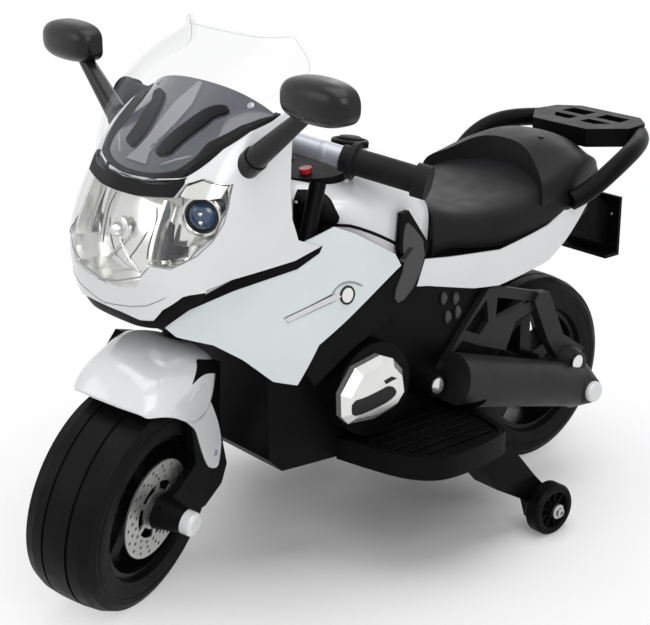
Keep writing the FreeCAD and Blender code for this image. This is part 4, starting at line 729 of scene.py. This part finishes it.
def mixed(tree, share, first, second):
    """Shows the second shader by a share, and the first for the rest."""
    mix = tree.nodes.new("ShaderNodeMixShader")
    tree.links.new(share, mix.inputs["Fac"])
    tree.links.new(first, mix.inputs[1])
    tree.links.new(second, mix.inputs[2])
    tree.links.new(mix.outputs["Shader"], tree.nodes["Material Output"].inputs["Surface"])


# Materials

def coloured(tree, shader, dark, light, roughness, metallic, shine):
    tree.links.new(tint(tree, cloud(tree, *COLOUR_CLOUD), dark, light), shader.inputs["Base Color"])
    tree.links.new(spread(tree, cloud(tree, *GLOSS_CLOUD), roughness), shader.inputs["Roughness"])
    shader.inputs["Metallic"].default_value = metallic
    shader.inputs["Specular IOR Level"].default_value = shine


def moulded(name, dark, light, roughness, grain, bump, coat=0.0, metallic=0.0, shine=0.5):
    material, tree, shader = shader_of(name)
    coloured(tree, shader, dark, light, roughness, metallic, shine)
    bumped(tree, shader, cloud(tree, grain, GRAIN_DETAIL), bump, GRAIN_DEPTH)
    shader.inputs["Coat Weight"].default_value = coat
    shader.inputs["Coat Roughness"].default_value = COAT_ROUGHNESS
    return material


def tyre_rubber(name, hub, axle):
    material = moulded(name, **TYRE_FINISH)
    tree = material.node_tree
    shader = tree.nodes["Principled BSDF"]
    bumped(tree, shader, wave(tree, wheel_radius(tree, hub, axle), TYRE_RIDGE_PERIOD), *TYRE_BUMP)
    bumped(tree, shader, spread(tree, cloud(tree, *TYRE_CLOUD), (0, 1)), *TYRE_BUMP)
    return material


def brushed_disc(name, hub, axle):
    material = moulded(name, **DISC_FINISH)
    tree = material.node_tree
    lines = wave(tree, wheel_radius(tree, hub, axle), BRUSH_PERIOD)
    bumped(tree, tree.nodes["Principled BSDF"], lines, *BRUSH_BUMP)
    return material


def clear(name, colour, strengths, roughness):
    """A thin clear sheet: almost unseen face on, with a sheen where it turns away."""
    material, tree, shader = shader_of(name)
    dull = tuple(CLEAR_DULL_SHARE * part for part in colour)
    tree.links.new(tint(tree, cloud(tree, *CLEAR_COLOUR_CLOUD), dull, colour), shader.inputs["Base Color"])
    tree.links.new(spread(tree, cloud(tree, *CLEAR_GLOSS_CLOUD), roughness), shader.inputs["Roughness"])
    turn = tree.nodes.new("ShaderNodeLayerWeight")
    turn.inputs["Blend"].default_value = CLEAR_BLEND
    level = ranged(tree, turn.outputs["Facing"], (0, 1), strengths).outputs["Result"]
    through = tree.nodes.new("ShaderNodeBsdfTransparent")
    mixed(tree, level, through.outputs["BSDF"], shader.outputs["BSDF"])
    return material


def two_tone(name, upper, lower, height):
    """One finish above a level and another below it."""
    material, tree, shader = shader_of(name)
    tree.nodes.remove(shader)
    halves = []
    for finish in (lower, upper):
        half = tree.nodes.new("ShaderNodeBsdfPrincipled")
        coloured(tree, half, **finish)
        halves.append(half.outputs["BSDF"])
    mixed(tree, above_level(tree, height), *halves)
    return material


WHITE = moulded("white_gloss", (0.77, 0.78, 0.79), (0.8, 0.805, 0.815), (0.16, 0.24),
                grain=26, bump=0.06, coat=0.5)
PANEL = moulded("panel_white", (0.7, 0.75, 0.76), (0.74, 0.785, 0.795), (0.2, 0.28),
                grain=26, bump=0.06, coat=0.4)
BLACK = moulded("black_plastic", (0.002, 0.002, 0.0023), (0.004, 0.004, 0.0044), (0.36, 0.48),
                grain=700, bump=0.25, shine=0.06)
SATIN = moulded("satin_black", (0.005, 0.005, 0.0054), (0.008, 0.008, 0.0087), (0.36, 0.48),
                grain=700, bump=0.25, shine=0.1)
SEAT = moulded("seat_plastic", (0.008, 0.008, 0.0088), (0.012, 0.012, 0.0133), (0.42, 0.52),
               grain=800, bump=0.25, shine=0.12)
ARM = moulded("arm_grey", (0.013, 0.013, 0.014), (0.019, 0.019, 0.02), (0.4, 0.5),
              grain=700, bump=0.25, shine=0.2)
MIRROR = moulded("mirror_shell", (0.005, 0.005, 0.0055), (0.009, 0.009, 0.01), (0.24, 0.32),
                 grain=300, bump=0.1, shine=0.28)
KNEE = moulded("knee_grey", (0.045, 0.045, 0.047), (0.062, 0.062, 0.065), (0.36, 0.48),
               grain=700, bump=0.25, shine=0.3)
GLOSS_BLACK = moulded("gloss_black", (0.002, 0.002, 0.0025), (0.004, 0.004, 0.0048), (0.14, 0.22),
                      grain=60, bump=0.05, shine=0.25)
COWL = moulded("cowl_grey", (0.05, 0.056, 0.07), (0.075, 0.083, 0.1), (0.1, 0.18),
               grain=22, bump=0.05, coat=0.5)
# The cowl grey made lighter: painted light on the raised centre facet of the cowl
COWL_PAINTED_LIGHT = moulded("cowl_plate_painted_light", (0.2, 0.21, 0.235), (0.26, 0.27, 0.295), (0.1, 0.18),
                grain=22, bump=0.05, coat=0.6)
RIM = moulded("rim_black", (0.003, 0.003, 0.0035), (0.006, 0.006, 0.007), (0.24, 0.36),
              grain=400, bump=0.15, shine=0.15)
GRIP = moulded("grip_rubber", (0.007, 0.007, 0.008), (0.011, 0.011, 0.012), (0.5, 0.62),
               grain=1100, bump=0.4, shine=0.12)
STEEL = moulded("steel", (0.42, 0.42, 0.43), (0.52, 0.52, 0.53), (0.24, 0.34),
                grain=500, bump=0.1, metallic=0.95)
BAR = moulded("bar_grey", (0.36, 0.38, 0.42), (0.42, 0.44, 0.48), (0.3, 0.38),
              grain=300, bump=0.08, metallic=0.35)
CHROME = moulded("cover_chrome", (0.74, 0.74, 0.73), (0.82, 0.82, 0.81), (0.12, 0.22),
                 grain=60, bump=0.06, metallic=0.75)
BRIGHT = moulded("bright_strip", (0.6, 0.6, 0.6), (0.68, 0.68, 0.68), (0.2, 0.28),
                 grain=60, bump=0.02, metallic=0.8)
REFLECTOR = moulded("reflector", (0.74, 0.74, 0.72), (0.82, 0.82, 0.8), (0.1, 0.2),
                    grain=40, bump=0.08, metallic=0.8)
TRAY_BRIGHT = {"dark": (0.72, 0.72, 0.7), "light": (0.82, 0.82, 0.8), "roughness": (0.1, 0.2),
               "metallic": 0.8, "shine": 0.5}
TRAY_BLACK = {"dark": (0.002, 0.002, 0.0023), "light": (0.004, 0.004, 0.0044), "roughness": (0.36, 0.48),
              "metallic": 0.0, "shine": 0.06}
TRAY = two_tone("tray_reflector", TRAY_BRIGHT, TRAY_BLACK, TRAY_EDGE_HEIGHT)
RIBBED = moulded("ribbed_reflector", (0.05, 0.05, 0.053), (0.09, 0.09, 0.094), (0.2, 0.3),
                 grain=300, bump=0.1, metallic=0.85)
RED = moulded("button_red", (0.55, 0.015, 0.02), (0.65, 0.025, 0.03), (0.25, 0.35),
              grain=300, bump=0.1, coat=0.4)
LAMP_RED = moulded("lamp_red", (0.35, 0.008, 0.01), (0.45, 0.014, 0.016), (0.1, 0.18),
                   grain=60, bump=0.1, coat=0.8)
GEAR = moulded("gear_white", (0.6, 0.59, 0.55), (0.66, 0.65, 0.61), (0.4, 0.5), grain=400, bump=0.1)
BATTERY = moulded("battery_grey", (0.09, 0.1, 0.11), (0.12, 0.13, 0.14), (0.45, 0.55), grain=500, bump=0.2)
GREY_LINE = moulded("grey_line", (0.25, 0.26, 0.27), (0.31, 0.32, 0.33), (0.35, 0.45), grain=300, bump=0.1)
DARK_LINE = moulded("dark_line", (0.09, 0.09, 0.09), (0.13, 0.13, 0.13), (0.3, 0.4), grain=300, bump=0.1)
PALE_LINE = moulded("pale_line", (0.7, 0.71, 0.72), (0.76, 0.77, 0.78), (0.3, 0.4), grain=300, bump=0.1)
BLUE = moulded("lamp_blue", (0.008, 0.05, 0.13), (0.014, 0.075, 0.18), (0.05, 0.1),
               grain=40, bump=0.05, coat=0.8)
GLASS = moulded("mirror_glass", (0.78, 0.8, 0.82), (0.82, 0.84, 0.86), (0.02, 0.05),
                grain=12, bump=0.01, metallic=1.0)
SCREEN = clear("screen_clear", (0.55, 0.57, 0.6), strengths=(0.004, 0.14), roughness=(0.02, 0.06))
LENS = clear("lens_clear", (0.5, 0.51, 0.52), strengths=(0.01, 0.2), roughness=(0.02, 0.06))
FRONT_TYRE = tyre_rubber("front_tyre_rubber", FRONT_HUB, FRONT_AXLE)
REAR_TYRE = tyre_rubber("rear_tyre_rubber", REAR_HUB, OUT)
DISC = brushed_disc("disc_silver", FRONT_HUB, FRONT_AXLE)

# Nodes that are not black plastic, without the words for left and right
NODE_MATERIALS = {
    "front_tyre": FRONT_TYRE, "rear_tyre": REAR_TYRE, "front_rim": RIM, "rear_rim": RIM, "drive_gear": GEAR,
    "brake_disc": DISC, "motor_pinion": STEEL, "motor": STEEL, "grip": GRIP, "handlebar": BAR,
    "front_fender": WHITE, "front_axle": WHITE, "rear_axle": WHITE, "front_fairing": WHITE,
    "tank_cover": WHITE, "tail_panel": WHITE, "side_panel": PANEL, "cowl_panel": COWL, "cowl_frame": SATIN,
    "windscreen": SCREEN,
    "headlight_lens": LENS, "headlight_tray": TRAY, "lamp": GLOSS_BLACK, "direction_rocker": GLOSS_BLACK,
    "seat": SEAT, "power_button": RED, "engine_cover": CHROME, "battery": BATTERY, "control_box": BATTERY,
    "tail_light": LAMP_RED, "mirror": MIRROR, "mirror_base": MIRROR, "swingarm": ARM,
}


def dress_nodes():
    for name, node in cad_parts.items():
        plain_name = name.removesuffix("_left").removesuffix("_right")
        node.data.materials.clear()
        node.data.materials.append(NODE_MATERIALS.get(plain_name, BLACK))
        for polygon in node.data.polygons:
            polygon.use_smooth = True


# Nose

def cowl_details():
    tree = surface("cowl_panel")
    both_sides("cowl_vent", photo_plate(tree, **VENT), BLACK)
    both_sides("vent_lip", photo_bead(tree, **VENT_LIP), GREY_LINE)
    place, normal = struck(tree, from_photo(COWL_RIVET))
    both_sides("cowl_rivet", turned(RIVET_PROFILE, place, normal, SMALL_SEGMENTS), BAR)
    ridge = [place for place, _ in struck_all(tree, [from_photo(point) for point in COWL_RIDGE])]
    left = [(place.x, place.z) for place in ridge]
    right = [(-place.x, place.z) for place in reversed(ridge)]
    # The raised centre plate takes the lighter grey, which paints light on this facet
    plate = laid(tree, left + right, from_front, **COWL_PLATE)
    finished("cowl_plate_painted_light", plate, COWL_PAINTED_LIGHT, "frame", COWL_PLATE_EDGE)


def screen_edge():
    for name, points in (("screen_side", SCREEN_SIDE), ("screen_top", SCREEN_TOP)):
        line = passing([Vector(point) + SCREEN_INSET for point in points], SCREEN_STEPS)
        edge = bead(line, [FORWARD] * len(line), SCREEN_BEAD, SCREEN_BEAD)
        both_sides(name, edge, PALE_LINE)


def fairing_details():
    # The black band is the fairing's shadow, painted on the side panel
    shadow_band = photo_plate(surface("side_panel_left"), **FAIRING_SHADOW)
    both_sides("painted_fairing_shadow", shadow_band, BLACK)
    fairing = surface("front_fairing")
    both_sides("brow_fill", photo_plate(fairing, **BROW_FILL), BLACK)
    both_sides("chin_line", photo_bead(fairing, **CHIN_LINE), GREY_LINE)


def lamp_pieces():
    seat = LAMP_FRONT - LAMP_AXIS * LAMP_SEAT_DEPTH
    both_sides("lamp_ring", turned(ring_profile(**LAMP_RING), seat, LAMP_AXIS), REFLECTOR)
    both_sides("lamp_rim", turned(ring_profile(**LAMP_RIM), seat, LAMP_AXIS), GLOSS_BLACK)
    both_sides("lamp_lens", turned(LAMP_DOME, seat, LAMP_AXIS), BLUE)
    dots = []
    for rise in LAMP_DOT_RISES:
        spot = LAMP_FRONT + LAMP_AXIS * LAMP_DOT_OUT + UP * rise
        dots.append(turned(LAMP_DOT_PROFILE, spot, LAMP_AXIS, DOT_SEGMENTS))
    both_sides("lamp_dots", merged(dots), REFLECTOR)


def lamp_rib_height(point):
    return LAMP_RIB_HEIGHT * ((point[1] / LAMP_RIB_PERIOD) % 1)


def headlight_details():
    lens = surface("headlight_lens")
    ribs = laid(lens, look=from_front, relief=lamp_rib_height, **LAMP_RIBS)
    both_sides("lamp_ribs", ribs, RIBBED)
    both_sides("lamp_wall", laid(lens, look=from_front, **LAMP_WALL), REFLECTOR, LAMP_WALL_EDGE)
    both_sides("lamp_liner", laid(lens, look=from_front, **LAMP_LINER), REFLECTOR)
    finished("centre_bulb", turned(BULB_PROFILE, BULB_PLACE, FORWARD), REFLECTOR, "frame")
    skin = surface("headlight_lens", "front_fairing")
    edges = [photo_bead(skin, line, **LENS_BEAD) for line in LENS_LINES]
    both_sides("lens_line", merged(edges), GREY_LINE)
    tray = surface("headlight_tray")
    both_sides("tray_struts", photo_bead(tray, **STRUT), BRIGHT)
    lines = [photo_bead(tray, line, **TRAY_BEAD) for line in TRAY_LINES]
    both_sides("tray_lines", merged(lines), DARK_LINE)


# Flank

def blank_badge(name, point, node, radius):
    place, normal = struck(surface(node), from_photo(point))
    profile = ring_profile(BADGE_RING_SHARE * radius, radius, BADGE_RING_HEIGHT, BADGE_RING_EDGE)
    ring = turned(profile, place - normal * BADGE_SUNK, normal)
    both_sides(name + "_ring", ring, GLOSS_BLACK)
    disc = [(share * radius, height) for share, height in BADGE_DISC]
    both_sides(name + "_disc", turned(disc, place, normal), CHROME)


def panel_details():
    panel = surface("side_panel_left")
    both_sides("side_blade", photo_plate(panel, **BLADE), BRIGHT)
    lines = [photo_bead(panel, line, **BLADE_BEAD) for line in BLADE_LINES]
    both_sides("blade_line", merged(lines), GLOSS_BLACK)
    both_sides("side_scoop", photo_bead(panel, **SCOOP), GREY_LINE)
    for name, badge in BADGES.items():
        blank_badge(name, *badge)


def engine_cover_details():
    cover = surface("engine_cover_left")
    both_sides("cover_insert", photo_plate(cover, **INSERT), GLOSS_BLACK, INSERT_EDGE)
    both_sides("cover_notch", photo_plate(cover, **NOTCH), GLOSS_BLACK)


def knee_and_tank_details():
    outline = rounded(KNEE_OUTLINE, SOFT_ROUNDS)
    inner = [(KNEE_FACE - SUNK, along, rise) for along, rise in outline]
    outer = [(KNEE_FACE + KNEE_PROUD, along, rise) for along, rise in outline]
    both_sides("knee_pad", slab(inner, outer), KNEE, KNEE_EDGE)
    slot = photo_plate(surface("chassis_left"), **KNEE_SLOT)
    both_sides("knee_slot", slot, GLOSS_BLACK)
    tank = surface("tank_cover")
    both_sides("tank_shade", photo_plate(tank, **TANK_SHADE), BLACK)
    both_sides("tank_seam", photo_bead(tank, **TANK_SEAM), BLACK)


# Mirrors

def mirror_glass():
    upper = []
    lower = []
    for along_share, size_share in MIRROR_RING_SHARES:
        x = MIRROR_MIDDLE.x + GLASS_SHARE * along_share * MIRROR_HALF_LENGTH
        depth = (MIRROR_BACK_SHARE / size_share) ** (1 / MIRROR_SQUARE_SHARE)
        narrowing = (1 - depth ** 2) ** (MIRROR_SQUARE_SHARE / 2)
        half = GLASS_SHARE * size_share * narrowing * MIRROR_HALF_HEIGHT
        upper.append((x, MIRROR_MIDDLE.z + half))
        lower.append((x, MIRROR_MIDDLE.z - half))
    outline = rounded(upper + list(reversed(lower)), SOFT_ROUNDS)
    glass = laid(surface("mirror_left"), outline, from_behind, **GLASS_PLATE)
    both_sides("mirror_glass", glass, GLASS, GLASS_EDGE, ("mirror_left", "mirror_right"))


# Footboards and stabilisers

def footboard_rib(tree, place, ends):
    left = place - RIB_HALF_WIDTH
    right = place + RIB_HALF_WIDTH
    front, back = ends
    return laid(tree, [(left, front), (right, front), (right, back), (left, back)], from_above, **RIB_PLATE)


def footboard_ribs():
    for side, sign, places in (("left", 1, list(FOOTBOARD_RIBS)), ("right", -1, PEDAL_SIDE_RIBS)):
        tree = surface("footboard_" + side)
        ribs = [footboard_rib(tree, sign * place, FOOTBOARD_RIBS[place]) for place in places]
        finished("footboard_ribs_" + side, merged(ribs), BLACK, "frame", RIB_EDGE)


def stabiliser_details():
    foot = STABILISER_HUB + OUT * SPOKE_FOOT
    spokes = []
    for turn in turns(SPOKE_COUNT):
        ray = Vector((0, math.cos(turn), math.sin(turn)))
        spokes.append(spoke(foot + ray * SPOKE_INNER, foot + ray * SPOKE_OUTER, OUT))
    wheels = ("stabiliser_left", "stabiliser_right")
    both_sides("stabiliser_spokes", merged(spokes), BLACK, SPOKE_EDGE, wheels)
    bolt = turned(BOLT_PROFILE, STABILISER_HUB + OUT * BOLT_OUT, OUT, SMALL_SEGMENTS)
    both_sides("stabiliser_bolt", bolt, STEEL)


# Front fender and wheels

def fender():
    build = bmesh.new()
    rows = []
    for section in FENDER_SECTIONS:
        left = [wheel_point(*place) for place in reversed(section)]
        right = [wheel_point(-out, back, rise) for out, back, rise in section[1:]]
        rows.append([build.verts.new(point) for point in left + right])
    for ahead, behind in zip(rows, rows[1:]):
        for number in range(len(ahead) - 1):
            build.faces.new([ahead[number], ahead[number + 1], behind[number + 1], behind[number]])
    shell = finished("fender_shell", build, WHITE, "steering")
    shell.data.set_sharp_from_angle(angle=math.pi)
    smooth = shell.modifiers.new("smooth", "SUBSURF")
    smooth.levels = FENDER_SMOOTHING
    smooth.render_levels = FENDER_SMOOTHING
    wall = shell.modifiers.new("wall", "SOLIDIFY")
    wall.thickness = FENDER_WALL
    wall.offset = 0
    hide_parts("front_fender")


def fender_legs():
    outline = rounded(FENDER_LEG, SOFT_ROUNDS)
    inner = [wheel_point(FENDER_LEG_INNER, back, rise) for back, rise in outline]
    outer = [wheel_point(FENDER_LEG_OUTER, back, rise) for back, rise in outline]
    both_steered("fender_leg", slab(inner, outer), WHITE, "steering", FENDER_LEG_EDGE)


def tyre_lines():
    profile = ring_profile(**TYRE_LINE)
    front = turned(profile, FRONT_HUB + FRONT_AXLE * TYRE_LINE_FOOT, FRONT_AXLE, TYRE_SEGMENTS)
    both_steered("front_tyre_line", front, FRONT_TYRE, "front_wheel")
    rear = turned(profile, REAR_HUB + OUT * TYRE_LINE_FOOT, OUT, TYRE_SEGMENTS)
    both_sides("rear_tyre_line", rear, REAR_TYRE, bodies=("rear_wheel", "rear_wheel"))


# Small parts on the rest of the body

def grille_bump(tree, point):
    place, _ = struck(tree, from_photo(point))
    middle = (place.y, place.z)

    def height(spot):
        share = math.dist(spot, middle) / GRILLE_BUMP_HALF_SIZES[1]
        return GRILLE_BUMP_HEIGHT * max(0, 1 - share ** 2)

    outline = oval(middle, GRILLE_BUMP_HALF_SIZES)
    return laid(tree, outline, from_left, relief=height, **GRILLE_BUMP_PLATE)


def grille():
    tree = surface("chassis_left")
    bumps = [grille_bump(tree, point) for point in GRILLE_POINTS]
    both_sides("grille_bumps", merged(bumps), KNEE)
    ribs = [photo_bead(tree, line, **GRILLE_BEAD) for line in GRILLE_LINES]
    both_sides("grille_ribs", merged(ribs), BLACK)


def screws():
    place, normal = struck(surface("front_fender"), from_photo(FENDER_SCREW))
    screw = turned(SCREW_PROFILE, place, normal, SMALL_SEGMENTS)
    both_steered("fender_screw", screw, BAR, "steering")
    place, normal = struck(surface("seat"), from_photo(SEAT_SCREW))
    screw = turned(SCREW_PROFILE, place, normal, SMALL_SEGMENTS)
    finished("seat_screw", screw, GLOSS_BLACK, "frame")


def tank_cap():
    place, normal = struck(surface("tank_cover"), from_above(CAP_PLACE))
    finished("tank_cap", turned(CAP_PROFILE, place, normal), BLACK, "frame")


# Light, floor and camera

def aimed(name, data, place):
    """Puts a lamp or the camera at a place, turned to the middle of the picture."""
    holder = bpy.data.objects.new(name, data)
    bpy.context.scene.collection.objects.link(holder)
    holder.location = place
    holder.rotation_euler = (CAMERA_TARGET - Vector(place)).to_track_quat("-Z", "Y").to_euler()
    return holder


def soft_lamp(name, place, size, power):
    lamp = bpy.data.lights.new(name, "AREA")
    lamp.shape = "RECTANGLE"
    lamp.size = size[0]
    lamp.size_y = size[1]
    lamp.energy = power
    aimed(name, lamp, place)


def seen_rays(tree):
    """1 for rays that see the background, straight, in a reflection or through a clear piece."""
    path = tree.nodes.new("ShaderNodeLightPath")
    total = path.outputs["Is Camera Ray"]
    for word in ("Is Glossy Ray", "Is Transmission Ray"):
        total = maths(tree, "MAXIMUM", total, path.outputs[word])
    return total


def pale_world():
    world = bpy.data.worlds.new("studio")
    bpy.context.scene.world = world
    world.use_nodes = True
    tree = world.node_tree
    back = tree.nodes["Background"]
    back.inputs["Color"].default_value = (1, 1, 1, 1)
    level = ranged(tree, seen_rays(tree), (0, 1), WORLD_STRENGTHS)
    tree.links.new(level.outputs["Result"], back.inputs["Strength"])


def floor_material():
    """Pale and shaded near the object, and fading into the background away from it."""
    material, tree, shader = shader_of("floor_pale")
    tree.links.new(tint(tree, cloud(tree, *FLOOR_CLOUD), *FLOOR_COLOURS), shader.inputs["Base Color"])
    shader.inputs["Roughness"].default_value = FLOOR_ROUGHNESS
    shader.inputs["Specular IOR Level"].default_value = FLOOR_SHINE
    glow = tree.nodes.new("ShaderNodeEmission")
    glow.inputs["Strength"].default_value = FLOOR_GLOW
    distance = vector_maths(tree, "LENGTH", object_place(tree)).outputs["Value"]
    fade = ranged(tree, distance, FLOOR_FADE, (0, 1))
    fade.interpolation_type = "SMOOTHSTEP"
    share = maths(tree, "MULTIPLY", fade.outputs["Result"], seen_rays(tree))
    mixed(tree, share, shader.outputs["BSDF"], glow.outputs["Emission"])
    return material


def pale_floor():
    build = bmesh.new()
    bmesh.ops.create_circle(build, cap_ends=True, radius=FLOOR_RADIUS, segments=FLOOR_SEGMENTS)
    mesh = bpy.data.meshes.new("floor")
    build.to_mesh(mesh)
    build.free()
    mesh.materials.append(floor_material())
    floor = bpy.data.objects.new("floor", mesh)
    bpy.context.scene.collection.objects.link(floor)


def camera():
    data = bpy.data.cameras.new("camera")
    data.lens = LENS_LENGTH
    data.sensor_width = SENSOR_WIDTH
    data.sensor_fit = "HORIZONTAL"
    bpy.context.scene.camera = aimed("camera", data, CAMERA_PLACE)


def studio():
    bpy.context.scene.view_settings.view_transform = "Standard"
    pale_world()
    pale_floor()
    for name, lamp in LAMPS.items():
        soft_lamp(name, *lamp)
    camera()


dress_nodes()
cowl_details()
screen_edge()
fairing_details()
lamp_pieces()
headlight_details()
panel_details()
engine_cover_details()
knee_and_tank_details()
mirror_glass()
footboard_ribs()
stabiliser_details()
fender()
fender_legs()
tyre_lines()
grille()
screws()
tank_cap()
studio()
